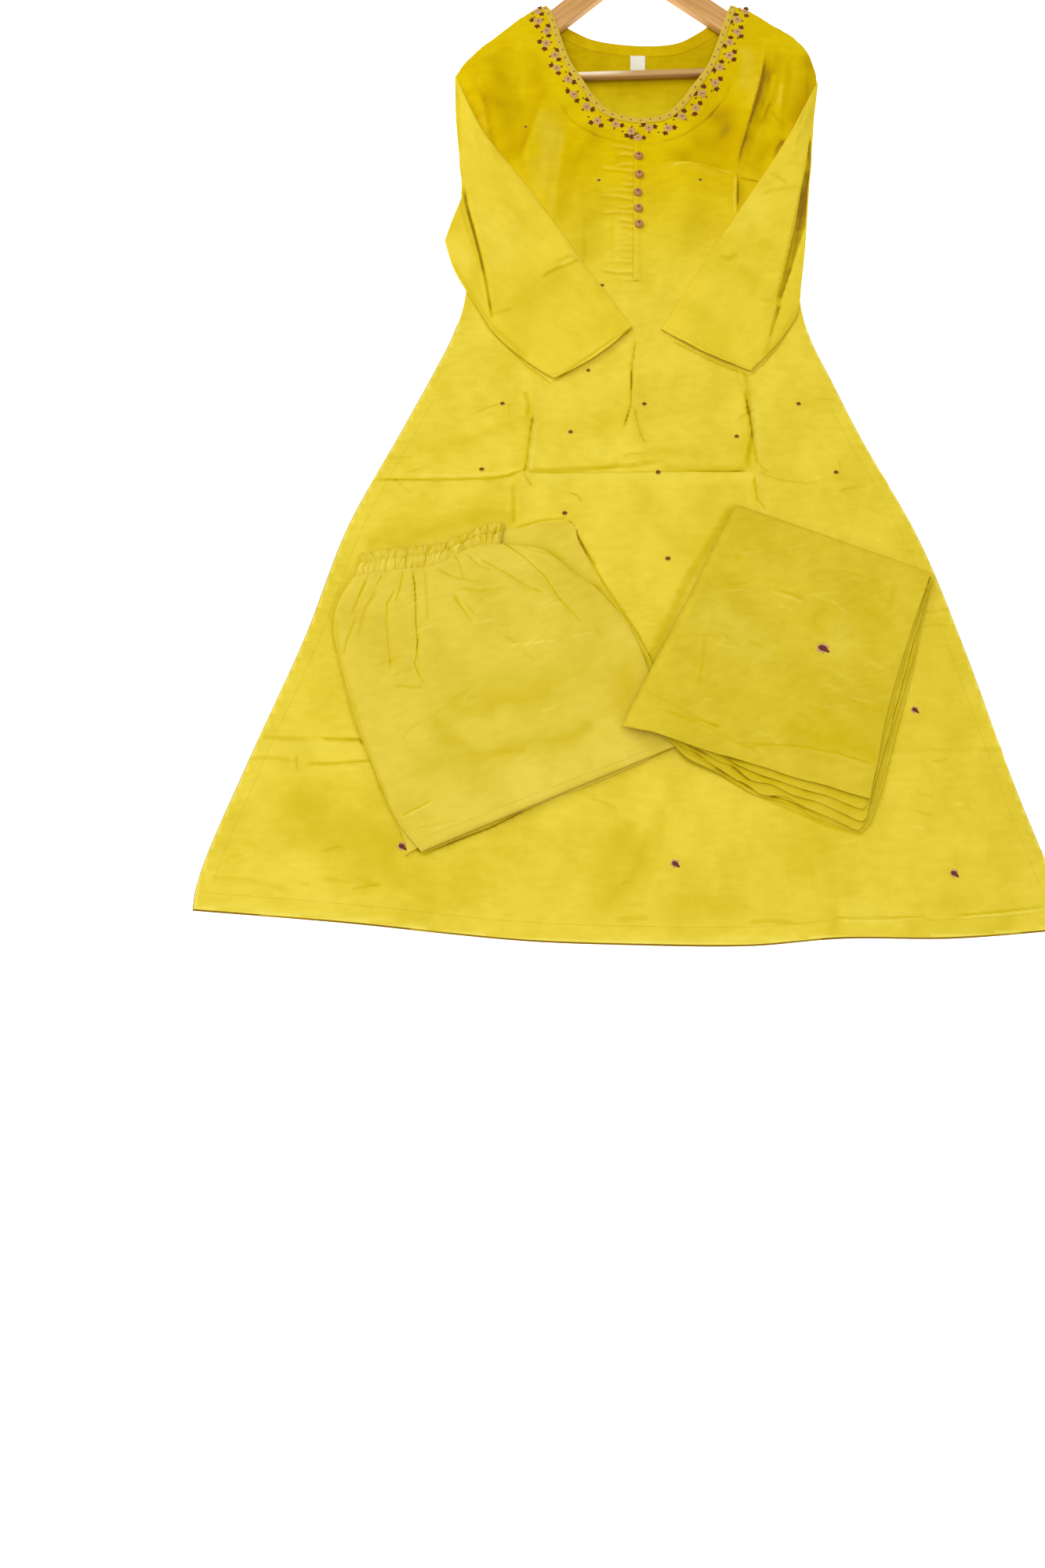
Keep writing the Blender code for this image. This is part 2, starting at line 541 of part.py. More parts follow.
def neck_path(neck, first_x, last_x, count):
    xs = [blend(first_x, last_x, i / 300) for i in range(301)]
    run = [0.0]
    for a, b in zip(xs, xs[1:]):
        run.append(run[-1] + math.hypot(b - a, read(neck, "y", b) - read(neck, "y", a)))
    goals = [run[-1] * k / count for k in range(count + 1)]
    picked = [xs[min(range(len(run)), key=lambda i: abs(run[i] - goal))] for goal in goals]
    return [(x, read(neck, "y", x)) for x in picked]


def outward(path):
    """Unit vectors square to a path, to its right as it runs."""
    def way(i):
        a, b = path[max(i - 1, 0)], path[min(i + 1, len(path) - 1)]
        dx, dy = b[0] - a[0], b[1] - a[1]
        length = math.hypot(dx, dy)
        return dy / length, -dx / length
    return way


def make_neck(piping, cotton, label):
    path = neck_path(NECK_FRONT, NECK_LEFT[0] + 1.0, NECK_RIGHT[0] - 1.0, 30)
    seat = seated(front_over, PIPING_REACH)
    strip("neck_piping", path, outward(path), PIPING_WIDTH, seat,
          lambda x, y: seat(x, y) + PIPING_THICK, (0.1, 0.55, 1.0), piping)
    path = neck_path(NECK_BACK, NECK_LEFT[0] + FACING_START, NECK_RIGHT[0] - FACING_START, 20)
    strip("neck_facing_back", path, outward(path), FACING_WIDTH, lambda x, y: BACK_TOP + GAP,
          lambda x, y: BACK_TOP + GAP + FACING_THICK, (0.05, 1.0), cotton)
    bm = bmesh.new()
    width, height, thick = LABEL_SIZE
    bottom = BACK_TOP + GAP
    bmesh.ops.create_cube(bm, size=1.0, matrix=Matrix.Translation(
        (LABEL_TOP[0], LABEL_TOP[1] - GAP - height / 2, bottom + thick / 2)) @ Matrix.Diagonal(
        (width, height, thick, 1.0)))
    bmesh.ops.bevel(bm, geom=[e for e in bm.edges if abs(e.verts[0].co.z - e.verts[1].co.z) > 0.5],
                    offset=0.8, segments=2, profile=0.5, affect="EDGES", material=-1)
    add_object("size_label", bm, label)


def make_placket(cotton, button_finish):
    low, high = PLACKET_ENDS
    count = 10
    under = seated(front_over, 5.0)
    wall("placket", 2, count,
         lambda c, r: (PLACKET_X + PLACKET_WIDTH * (c / 2 - 0.5), blend(low, high, r / count)),
         under, lambda x, y: under(x, y) + PLACKET_THICK, cotton)
    for i, y in enumerate(BUTTON_Y):
        bm = bmesh.new()
        bmesh.ops.create_uvsphere(bm, u_segments=14, v_segments=8, radius=1.0)
        bmesh.ops.bisect_plane(bm, geom=bm.verts[:] + bm.edges[:] + bm.faces[:], plane_co=(0, 0, -0.25),
                               plane_no=(0, 0, -1), clear_outer=True)
        bmesh.ops.holes_fill(bm, edges=[e for e in bm.edges if e.is_boundary])
        radius = BUTTON_DIAMETER / 2
        bmesh.ops.scale(bm, vec=(radius, radius, BUTTON_HEIGHT / 1.25), verts=bm.verts)
        seat = under(PLACKET_X, y) + PLACKET_THICK + GAP
        bmesh.ops.translate(bm, vec=(PLACKET_X, y, seat + BUTTON_HEIGHT * 0.2), verts=bm.verts)
        add_object(f"button_{i + 1}", bm, button_finish)


def sleeve_rings(table, wall_inset):
    """Rings round a sleeve, from armhole to cuff: over its top, then back along its underside."""
    inset, skin = (INNER_INSET, CLOTH) if wall_inset else (0.0, 0.0)
    seat = seated(front_over, SLEEVE_REACH)
    rings = []
    for section in range(SLEEVE_SECTIONS + 1):
        t = section / SLEEVE_SECTIONS
        row = Cross(*(along_rows(table, column, t) for column in Cross._fields))
        start, end = Vector((row.upper_x, row.upper_y)), Vector((row.lower_x, row.lower_y))
        width = (end - start).length
        side = Vector((end.y - start.y, start.x - end.x)) / width

        def point(r, top):
            edge = min(r, 1.0 - r)
            spot = start.lerp(end, r) - side * row.bow * 4 * r * (1 - r)
            floor = seat(*spot)
            if not top:
                return (*spot, floor + skin)
            past_fold = ease((r - row.fold) * width / FOLD_STEP)
            loft = blend(row.loft, min(row.loft, SLEEVE_FLAP), past_fold)
            pinch = fold_height(SLEEVE_CREASE, *spot)
            height = blend(SLEEVE_EDGE, loft + pinch, round_over(edge * width, SLEEVE_ROUND))
            return (*spot, floor + height - skin)

        shy = inset / width
        fold_end = min(row.fold + FOLD_STEP / width, 0.985)
        shares = [row.fold * u for u in SLEEVE_ACROSS] + [fold_end, blend(fold_end, 1.0, 0.5), 1.0]
        shares = [blend(shy, 1.0 - shy, r) for r in shares]
        rings.append([point(r, True) for r in shares] + [point(r, False) for r in reversed(shares)])
    return rings


def make_sleeves(cotton):
    for name, table in (("sleeve_left", SLEEVE_LEFT), ("sleeve_right", SLEEVE_RIGHT)):
        tube(name, sleeve_rings(table, False), sleeve_rings(table, True), cotton)


def make_hanger(wood, steel):
    """Two sloping arms with a round bar between them and a wire hook."""
    drop = ARM_REACH * math.tan(ARM_SLOPE)
    rise = ARM_WIDTH / math.cos(ARM_SLOPE)
    half_top = (ARM_FORK + rise - HANGER_TOP) / math.tan(ARM_SLOPE)
    low, high = ARM_FORK - drop, ARM_FORK - drop + rise
    back = ARM_END * math.tan(ARM_SLOPE)
    half = [(0.0, ARM_FORK), (ARM_REACH - ARM_END, low + back), (ARM_REACH, low + 1.5 * ARM_END),
            (ARM_REACH - 1.0, high - 0.9 * ARM_END), (ARM_REACH - ARM_END, high + back - 1.0),
            (half_top + ARM_ROUND, HANGER_TOP - 0.9 * ARM_ROUND), (half_top, HANGER_TOP)]
    outline = half + [(-p, q) for p, q in reversed(half[1:])]
    bm = bmesh.new()
    face = bm.faces.new([bm.verts.new((*hanger_to_row(p, q), HANGER_FLOOR)) for p, q in outline])
    grown = bmesh.ops.extrude_face_region(bm, geom=[face])
    risen = [item for item in grown["geom"] if isinstance(item, bmesh.types.BMVert)]
    bmesh.ops.translate(bm, vec=(0, 0, ARM_THICK), verts=risen)
    rims = [e for e in bm.edges if abs(e.verts[0].co.z - e.verts[1].co.z) < 0.1]
    bmesh.ops.bevel(bm, geom=rims, offset=ARM_ROUND, segments=3, profile=0.5, affect="EDGES", material=-1)
    arms = add_object("hanger_arms", bm, wood)

    middle = HANGER_FLOOR + ARM_THICK / 2
    inner = ARM_FORK / math.tan(ARM_SLOPE)  # where an arm's lower edge crosses the bar's centre line
    half_bar = inner + BAR_SOCKET

    def rod(name, radius, half_length, finish):
        rod_bm = bmesh.new()
        bmesh.ops.create_cone(rod_bm, cap_ends=True, segments=20, radius1=radius, radius2=radius,
                              depth=2 * half_length)
        turn = Matrix.Rotation(HANGER_TURN, 4, "Z") @ Matrix.Rotation(math.pi / 2, 4, "Y")
        place = Matrix.Translation((*HANGER_CENTRE, middle)) @ turn
        bmesh.ops.transform(rod_bm, matrix=place, verts=rod_bm.verts)
        return add_object(name, rod_bm, finish)

    rod("hanger_bar", BAR_RADIUS, half_bar, wood)
    cutter = rod("bar_socket_cutter", BAR_RADIUS + GAP, half_bar + GAP, wood)
    cutter.hide_render = True
    cutter.display_type = "WIRE"
    sockets = arms.modifiers.new("Bar sockets", "BOOLEAN")
    sockets.operation = "DIFFERENCE"
    sockets.solver = "EXACT"
    sockets.object = cutter

    base = HANGER_TOP + GAP
    ring_q = base + HOOK_STEM + HOOK_RADIUS
    points = [(0.0, base), (0.0, base + HOOK_STEM * 0.5)]
    for i in range(HOOK_STEPS + 1):
        angle = -math.pi / 2 + HOOK_SWEEP * i / HOOK_STEPS
        points.append((HOOK_RADIUS * math.cos(angle), ring_q + HOOK_RADIUS * math.sin(angle)))
    curve = bpy.data.curves.new("hanger_hook", "CURVE")
    curve.dimensions = "3D"
    curve.bevel_depth = HOOK_WIRE / 2 * MM
    curve.bevel_resolution = 2
    curve.use_fill_caps = True
    spline = curve.splines.new("POLY")
    spline.points.add(len(points) - 1)
    for spot, (p, q) in zip(spline.points, points):
        x, y = hanger_to_row(p, q)
        spot.co = (x * MM, y * MM, middle * MM, 1.0)
    curve.materials.append(steel)
    hook = bpy.data.objects.new("hanger_hook", curve)
    bpy.context.scene.collection.objects.link(hook)


def trouser_rest(x, y):
    return FRONT_REST + CLOTH + GAP


def trouser_loft(x, y):
    """Height of the folded legs above their lowest layer, less towards the corner under the dupatta."""
    low_share, start, run = TROUSER_THIN
    return TROUSER_LOFT * blend(1.0, low_share, ease((x - start) / run))


def gathers(share, count, seed):
    """Uneven waves across a gathered edge, 0 to 1."""
    phase = share * count + 0.33 * math.sin(share * 19.0 + seed) + 0.2 * math.sin(share * 47.0 + 2 * seed)
    size = 0.72 + 0.28 * math.sin(share * 31.0 + 3 * seed)
    return size * (0.5 - 0.5 * math.cos(2 * math.pi * phase))


def make_trousers(cotton):
    pile("trouser_folds", LEG_CENTRE,
         ((LEG_END, 1.0, 0.0), (LEG_END, 0.0, 0.8), (LEG_END, 0.0, TROUSER_LOW - 0.8),
          (LEG_END, 1.0, TROUSER_LOW), (LEG_BUNDLE, 6.0, TROUSER_LOW), (LEG_BUNDLE, 6.0, TROUSER_LOW + 0.6),
          (LEG_BUNDLE, 2.0, TROUSER_LOW + 1.2), (LEG_BUNDLE, 4.0, TROUSER_LOW + 2.2),
          (LEG_BUNDLE, 12.0, TROUSER_LOW + 3.0)),
         trouser_rest, PILE_POINTS, cotton)

    columns, rows = 2 * TROUSER_GATHERS, TROUSER_ROWS

    def place(column, row):
        share, t = column / columns, row / rows
        x = blend(along_rows(TROUSER_FRONT, "left_x", t), along_rows(TROUSER_FRONT, "right_x", t), share)
        y = blend(along_rows(TROUSER_FRONT, "left_y", t), along_rows(TROUSER_FRONT, "right_y", t), share)
        seam = read(WAIST_SEAM, "y", blend(WAIST_SEAM[0].x, WAIST_SEAM[-1].x, share))
        straight = blend(WAIST_SEAM[0].y, WAIST_SEAM[-1].y, share)
        return x, y + (seam - straight) * max(1.0 - t / SEAM_BOW_RUN, 0.0)

    grid = {}
    for column in range(columns + 1):
        for row in range(rows + 1):
            grid[tuple(round(value, 3) for value in place(column, row))] = (column / columns, row / rows)

    def share_of(x, y):
        key = (round(x, 3), round(y, 3))
        if key in grid:
            return grid[key]
        return grid[min(grid, key=lambda spot: (spot[0] - x) ** 2 + (spot[1] - y) ** 2)]

    def drape(x, y, skin):
        share, t = share_of(x, y)
        left = Vector((along_rows(TROUSER_FRONT, "left_x", t), along_rows(TROUSER_FRONT, "left_y", t)))
        right = Vector((along_rows(TROUSER_FRONT, "right_x", t), along_rows(TROUSER_FRONT, "right_y", t)))
        width = (right - left).length
        edge = min(share, 1.0 - share) * width
        fold = (1.0 - t) * TROUSER_LENGTH
        rounded = round_over(edge + skin, TROUSER_ROUND) * round_over(fold + skin, TROUSER_ROUND)
        return trouser_rest(x, y) + TROUSER_LOW + 3 * GAP + trouser_loft(x, y) * max(rounded, LEAST_LIFT)

    def under(x, y):
        return drape(x, y, 0.0)

    def over(x, y):
        share, t = share_of(x, y)
        depth = GATHER_DEPTH * gathers(share, TROUSER_GATHERS, 1.0) * ease(1.0 - t / GATHER_RUN)
        return drape(x, y, CLOTH) + CLOTH + depth

    wall("trouser_front", columns, rows, place, under, over, cotton)

    frill_columns, frill_rows = FRILL_POINTS * WAIST_FRILLS, FRILL_ROWS

    def band_place(column, row):
        share, t = column / frill_columns, row / frill_rows
        x_low = blend(WAIST_SEAM[0].x, WAIST_SEAM[-1].x, share)
        x_high = blend(WAIST_TOP[0].x, WAIST_TOP[-1].x, share)
        low = read(WAIST_SEAM, "y", x_low) + 2 * GAP
        high = read(WAIST_TOP, "y", x_high) + FRILL_SWAY * math.sin(share * WAIST_FRILLS * 2 * math.pi)
        return blend(x_low, x_high, t), blend(low, high, t)

    def band_under(x, y):
        return trouser_rest(x, y) + TROUSER_LOW + GAP + WAIST_REST

    def band_over(x, y):
        share = min(max((x - WAIST_SEAM[0].x) / (WAIST_SEAM[-1].x - WAIST_SEAM[0].x), 0.0), 1.0)
        return band_under(x, y) + WAIST_THICK + FRILL_DEPTH * gathers(share, WAIST_FRILLS, 2.0)

    wall("trouser_waistband", frill_columns, frill_rows, band_place, band_under, band_over, cotton)


def corner_distance(x, y):
    return math.hypot(x - DUPATTA[0].x, y - DUPATTA[0].y)


def dupatta_rest(x, y):
    """What the dupatta lies on: the skirt, and the trousers at its left corner."""
    start, end = CORNER_SPAN
    return trouser_rest(x, y) + CORNER_LIFT * ease((end - corner_distance(x, y)) / (end - start))


def make_dupatta(cotton):
    rings = []
    for i, leaf in enumerate((LEAF_LOW, LEAF_MIDDLE, LEAF_HIGH)):
        low = i * LEAF_PITCH
        if i:
            rings.append((leaf, LEAF_NOTCH, low - 0.1))
        rings += [(leaf, LEAF_ROUND, low), (leaf, 0.0, low + LEAF_ROUND),
                  (leaf, 0.0, low + LEAF_THICK - LEAF_ROUND), (leaf, LEAF_ROUND, low + LEAF_THICK)]
        if leaf is not LEAF_HIGH:
            rings.append((leaf, LEAF_NOTCH + 1.0, low + LEAF_THICK + 0.1))
    rings.append((LEAF_HIGH, LEAF_NOTCH, DUPATTA_LOFT - 2 * GAP))
    pile("dupatta_folds", DUPATTA_CENTRE, rings, dupatta_rest, PILE_POINTS, cotton)

    left, bottom_right, right, top = (Vector(corner) for corner in DUPATTA)

    def place(column, row):
        a, b = DUPATTA_GRID[column], DUPATTA_GRID[row]
        spot = left.lerp(bottom_right, a).lerp(top.lerp(right, a), 1.0 - b)
        bow = DUPATTA_BOW * math.sin(math.pi * (1.0 - b)) * a**6
        return spot.x - bow, spot.y

    def drape(x, y, skin):
        spot = Vector((x, y))
        side = (top - left).normalized()
        head = (right - top).normalized()
        from_left = abs((spot - left).cross(side))
        from_top = abs((spot - top).cross(head))
        rounded = round_over(from_left + skin, DUPATTA_ROUND) * round_over(from_top + skin, DUPATTA_ROUND)
        return dupatta_rest(x, y) + GAP + (DUPATTA_LOFT + 2 * GAP) * max(rounded, LEAST_LIFT)

    wall("dupatta_top", len(DUPATTA_GRID) - 1, len(DUPATTA_GRID) - 1, place,
         lambda x, y: drape(x, y, 0.0), lambda x, y: drape(x, y, CLOTH) + CLOTH, cotton)


def main():
    clear_scene()
    kurta_cotton = material("kurta_cotton", (0.78, 0.58, 0.04), 0.85)
    trouser_cotton = material("trouser_cotton", (0.77, 0.60, 0.06), 0.85)
    dupatta_cotton = material("dupatta_cotton", (0.76, 0.57, 0.04), 0.85)
    piping = material("piping", (0.62, 0.38, 0.10), 0.8)
    buttons = material("buttons", (0.55, 0.30, 0.20), 0.5)
    label = material("label", (0.80, 0.78, 0.70), 0.8)
    wood = material("wood", (0.68, 0.38, 0.15), 0.45)
    steel = material("steel", (0.60, 0.60, 0.60), 0.25, 1.0)
    make_body(kurta_cotton)
    make_neck(piping, kurta_cotton, label)
    make_placket(kurta_cotton, buttons)
    make_sleeves(kurta_cotton)
    make_hanger(wood, steel)
    make_trousers(trouser_cotton)
    make_dupatta(dupatta_cotton)


main()
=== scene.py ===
import math
import random

import bmesh
import bpy
import numpy as np
from mathutils import Matrix, Vector, noise
from mathutils.bvhtree import BVHTree


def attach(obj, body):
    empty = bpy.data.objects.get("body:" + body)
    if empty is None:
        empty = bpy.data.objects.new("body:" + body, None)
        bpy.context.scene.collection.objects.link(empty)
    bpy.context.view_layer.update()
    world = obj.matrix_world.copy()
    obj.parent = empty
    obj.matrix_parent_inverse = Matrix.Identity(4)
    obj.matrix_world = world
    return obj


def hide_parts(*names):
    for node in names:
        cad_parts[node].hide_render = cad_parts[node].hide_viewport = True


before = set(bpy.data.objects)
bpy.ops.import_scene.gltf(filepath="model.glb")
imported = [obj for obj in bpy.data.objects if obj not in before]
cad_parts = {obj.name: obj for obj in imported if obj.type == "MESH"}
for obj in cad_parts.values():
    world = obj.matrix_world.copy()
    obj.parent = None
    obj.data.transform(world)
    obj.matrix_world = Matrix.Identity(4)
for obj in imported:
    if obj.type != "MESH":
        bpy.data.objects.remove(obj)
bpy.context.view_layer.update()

mm = 0.001  # all shapes are worked in millimetres and scaled when they are finished

# What the garment is cut to: the same outlines as the source
bodySides = (  # y, left x, right x
    (-660, -456, 456), (-604, -453, 443), (-480, -412, 402), (-330, -358, 358), (-200, -319, 314),
    (-76, -263, 254), (0, -229, 221), (50, -209, 200), (97, -199, 190), (150, -200, 189),
    (205, -202, 192), (250, -192, 183), (305, -194, 186), (345, -209, 203), (365, -219, 213),
    (397, -222, 217), (520, -222, 217))
hemLine = ((-456, -636), (-300, -645), (-120, -659), (0, -661), (120, -659), (215, -649), (330, -646),
           (456, -633))
shoulderLeft = ((-222, 397), (-200, 427), (-178, 448), (-148, 477), (-128, 494), (-113, 499))
shoulderRight = ((113, 505), (134, 500), (160, 480), (190, 460), (206, 438), (217, 402))
neckFront = ((-113, 499), (-106, 483), (-99, 462), (-89, 430), (-74, 398), (-49, 366), (-25, 351), (8, 346),
             (38, 355), (68, 389), (84, 413), (96, 446), (105, 478), (113, 505))
neckBack = ((-113, 499), (-100, 486), (-80, 472), (-50, 458), (0, 452), (45, 456), (76, 474), (98, 494),
            (113, 505))
sleeveLeft = (  # upper x, upper y, lower x, lower y, the solid's bow, the cloth's bow
    (-221, 388, -226, 168, 13, 13), (-190, 324, -213, 128, 0, 0), (-148, 268, -189, 86, 0, 0),
    (-106, 207, -164, 46, 0, 0), (-66, 146, -137, 19, -3, 1), (-28, 92, -110, -2, -6, 3),
    (-5, 58, -94, -11, -8, 6))
sleeveRight = (
    (216, 390, 197, 165, 0, 0), (190, 339, 192, 122, 0, 0), (158, 281, 186, 80, 0, 0),
    (122, 220, 167, 47, 0, 0), (82, 152, 150, 25, 0, -1), (46, 88, 137, 11, 3, -2),
    (28, 56, 131, 4, 5, -4))
solidBow, clothBow = 4, 5  # the columns of the two bows
trouserRows = (  # left x, left y, right x, right y
    (-309, -264, -148, -221), (-324, -292, -104, -225), (-328, -325, -67, -252), (-319, -361, -36, -276),
    (-308, -398, -12, -305), (-296, -434, 5, -338), (-281, -470, 17, -371), (-265, -506, 27, -402),
    (-247, -541, 36, -430), (-222, -571, 43, -449))
waistTop = ((-305, -235), (-276, -230), (-254, -227), (-213, -220), (-193, -211), (-158, -195), (-146, -194))
waistSeam = ((-308.5, -264.5), (-255, -255), (-222, -250), (-180, -227), (-148.5, -221.5))
legEnd = ((-140, -200), (-75, -190), (-61, -217), (-30, -276), (1, -321), (20, -358), (40, -446),
          (-214, -561), (-241, -556), (-306, -398), (-325, -325), (-306, -262), (-296, -238), (-200, -219))
legBundle = ((-160, -212), (-152, -238), (-104, -244), (-74, -262), (-22, -310), (7, -375), (28, -444),
             (-216, -553), (-236, -541), (-298, -398), (-317, -325), (-300, -262), (-292, -243), (-200, -223))
dupattaCorners = ((-15, -431), (246, -504), (324, -242), (111, -165))
layerHead = ((325, -249), (316, -246), (300, -240), (240, -219), (114, -174))
leafOne = ((9, -425), (24, -435), (41, -448), (58, -463), (90, -478), (111, -491), (131, -501), (165, -510),
           (193, -524), (215, -532), (236, -539), (243, -535), (252, -520), (263, -486), (274, -448),
           (285, -409), (297, -369), (306, -337), (312, -308), (320, -280)) + layerHead
leafTwo = ((13, -427), (33, -439), (53, -454), (65, -457), (82, -468), (104, -483), (118, -489), (135, -500),
           (159, -501), (178, -512), (214, -527), (235, -536), (245, -518), (256, -488), (268, -444),
           (280, -408), (292, -371), (302, -336), (309, -305), (318, -276)) + layerHead
leafThree = ((11, -427), (40, -443), (67, -454), (89, -466), (106, -472), (123, -485), (144, -489),
             (166, -500), (192, -507), (221, -520), (240, -527), (247, -509), (258, -471), (271, -427),
             (283, -386), (294, -349), (305, -312), (316, -277)) + layerHead
leafFour = ((10, -428), (37, -438), (64, -452), (91, -461), (115, -473), (144, -483), (173, -493),
            (197, -499), (225, -510), (241, -514), (250, -491), (260, -447), (273, -406), (286, -364),
            (299, -320), (313, -279)) + layerHead
hanger = {"centre": (1.0, 403.0), "turn": math.radians(3.5), "slope": math.radians(41.0)}


def ease(t):
    t = min(max(t, 0.0), 1.0)
    return t * t * (3.0 - 2.0 * t)


def mix(a, b, t):
    return a + (b - a) * t


def smoothRead(table, column, at):
    # a column's value between rows of a table, on a smooth curve, by its first column
    keys = [row[0] for row in table]
    values = [row[column] for row in table]
    at = min(max(at, keys[0]), keys[-1])
    i = max(k for k in range(len(keys) - 1) if keys[k] <= at)
    slopes = []
    for k in (i, i + 1):
        before, after = max(k - 1, 0), min(k + 1, len(keys) - 1)
        slopes.append((values[after] - values[before]) / (keys[after] - keys[before]))
    span = keys[i + 1] - keys[i]
    t = (at - keys[i]) / span
    return ((2 * t**3 - 3 * t**2 + 1) * values[i] + (t**3 - 2 * t**2 + t) * span * slopes[0]
            + (3 * t**2 - 2 * t**3) * values[i + 1] + (t**3 - t**2) * span * slopes[1])


def smoothAlong(table, column, t):
    # a column's value a share t of the way through a table
    place = min(max(t, 0.0), 1.0) * (len(table) - 1)
    i = min(int(place), len(table) - 2)
    a, b, c, d = (table[min(max(k, 0), len(table) - 1)][column] for k in range(i - 1, i + 3))
    u = place - i
    return 0.5 * (2 * b + (c - a) * u + (2 * a - 5 * b + 4 * c - d) * u**2 + (3 * b - a - 3 * c + d) * u**3)


def nodeTree(name):
    # a CAD node's surface in millimetres, for finding heights
    bm = bmesh.new()
    bm.from_mesh(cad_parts[name].data)
    bmesh.ops.transform(bm, matrix=Matrix.Scale(1000, 4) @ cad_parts[name].matrix_world, verts=bm.verts)
    tree = BVHTree.FromBMesh(bm)
    bm.free()
    return tree


def hitFrom(tree, x, y, height):
    # where a surface is met from this height above or below
    return tree.ray_cast(Vector((x, y, height)), Vector((0, 0, -1 if height > 0 else 1)))[0]


def topAt(tree, x, y, guess=5.0):
    return (hitFrom(tree, x, y, 200) or tree.find_nearest(Vector((x, y, guess)))[0]).z


def underAt(tree, x, y, guess=5.0):
    return (hitFrom(tree, x, y, -100) or tree.find_nearest(Vector((x, y, guess)))[0]).z


def besideLine(places, points):
    # for many (x, y) places: distance from a line, which side, how far along it, and its whole length
    best = np.full(len(places), 1e9)
    side = np.ones(len(places))
    along = np.zeros(len(places))
    run = 0.0
    for (x0, y0), (x1, y1) in zip(points, points[1:]):
        length = math.hypot(x1 - x0, y1 - y0)
        ux, uy = (x1 - x0) / length, (y1 - y0) / length
        px, py = places[:, 0] - x0, places[:, 1] - y0
        t = np.clip(px * ux + py * uy, 0.0, length)
        away = np.hypot(px - t * ux, py - t * uy)
        near = away < best
        best[near] = away[near]
        side[near] = (ux * py - uy * px)[near]
        along[near] = (run + t)[near]
        run += length
    return best, side, along, run


def endFade(along, run, over):
    # 0 at a line's two ends, 1 once this far from them
    return np.clip(np.minimum(along, run - along) / over, 0.0, 1.0)


def creaseHeights(places, creases):
    # heights of the listed folds: a soft swell with a crisp crest, its two sides of different width
    crisp = 0.45
    total = np.zeros(len(places))
    for height, leftWidth, rightWidth, points in creases:
        away, side, along, run = besideLine(places, points)
        width = np.where(side > 0.0, leftWidth, rightWidth)
        fade = endFade(along, run, min(run * 0.45, 30.0))
        fade = fade * fade * (3.0 - 2.0 * fade)
        swell = (1.0 - crisp) * np.exp(-((away / width) ** 1.6))
        crest = crisp * np.exp(-((away / (0.36 * width)) ** 1.4))
        total += height * (swell + crest) * fade
    return total


def toneHeights(places, tones, swells):
    # how much painted shade (+) or painted highlight (-) lies beside the listed strokes and soft swells, -1
    # to 1
    total = np.zeros(len(places))
    mottle = np.array([ripple(x, y, 19, 2.2) for x, y in places])
    for amount, startWidth, endWidth, soft, points in tones:
        away, side, along, run = besideLine(places, points)
        half = (startWidth + (endWidth - startWidth) * along / run) / 2
        t = np.clip((half + soft - away) / soft, 0.0, 1.0)
        ends = np.clip(np.minimum(along, run - along) / (0.12 * run + 0.01) + 0.5, 0.0, 1.0)
        total += amount * t * t * (3.0 - 2.0 * t) * ends * (1.0 + 0.2 * mottle)
    drift = np.array([(ripple(x, y, 27, 5.1), ripple(x, y, 27, 9.7)) for x, y in places])
    for amount, leftWidth, rightWidth, points in swells:
        oneSided = max(leftWidth, rightWidth) > 1.5 * min(leftWidth, rightWidth)
        wander = 0.6 if oneSided else 0.5 * leftWidth
        away, side, along, run = besideLine(places + wander * drift, points)
        width = np.where(side > 0.0, leftWidth, rightWidth)
        ends = endFade(along, run, 0.3 * run) if oneSided else 1.0
        total += amount * np.exp(-((away / width) ** 1.7)) * ends * (1.0 + 0.3 * mottle)
    return np.clip(total, -1.0, 1.0)


def accentHeights(places, creases, strength):
    # the turned-away side of each fold reads deeper and the side towards the light paler
    total = np.zeros(len(places))
    for height, leftWidth, rightWidth, points in creases:
        away, side, along, run = besideLine(places, points)
        first, last = Vector(points[0]), Vector(points[-1])
        way = last - first
        leftIsDark = 1.0 if way.x + way.y > 0.0 else -1.0
        signed = np.where(side > 0.0, away, -away) * leftIsDark
        width = np.where(side > 0.0, leftWidth, rightWidth)
        fade = endFade(along, run, min(run * 0.4, 20.0))
        deep = np.exp(-(((signed - 0.30 * width) / (0.34 * width)) ** 2))
        pale = np.exp(-(((signed + 0.42 * width) / (0.40 * width)) ** 2))
        total += strength * height * fade * (deep - 0.7 * pale)
    return total


def paintTones(bm, places, tones, swells, creases, strength):
    # the painted shade and painted highlight kept on the cloth's points, for its colour
    shade = bm.verts.layers.float.new("shade")
    paintedHighlight = bm.verts.layers.float.new("paintedHighlight")
    total = toneHeights(places, tones, swells) + accentHeights(places, creases, strength)
    for vertex, tone in zip(bm.verts, total):
        vertex[shade] = min(max(tone, 0.0), 1.0)
        vertex[paintedHighlight] = min(max(-tone, 0.0), 1.0)


def edgeMiddles(edges):
    middles = []
    for edge in edges:
        first, last = edge.verts[0].co, edge.verts[1].co
        middles.append(((first.x + last.x) / 2, (first.y + last.y) / 2))
    return np.array(middles)


def refineNear(bm, lines, reach):
    # finer cells beside the folds, so that they stay crisp
    edges = bm.edges[:]
    middles = edgeMiddles(edges)
    chosen = np.zeros(len(edges), bool)
    for points in lines:
        chosen |= besideLine(middles, points)[0] < reach
    bmesh.ops.subdivide_edges(bm, edges=[e for e, take in zip(edges, chosen) if take], cuts=1,
                              use_grid_fill=True)


def noiseAt(x, y, z):
    return noise.noise(Vector((x, y, z)))


def ripple(x, y, size, seed):
    # soft unevenness of cloth that lies loose, about -1 to 1
    return noiseAt(x / size, y / size, seed) * 1.6


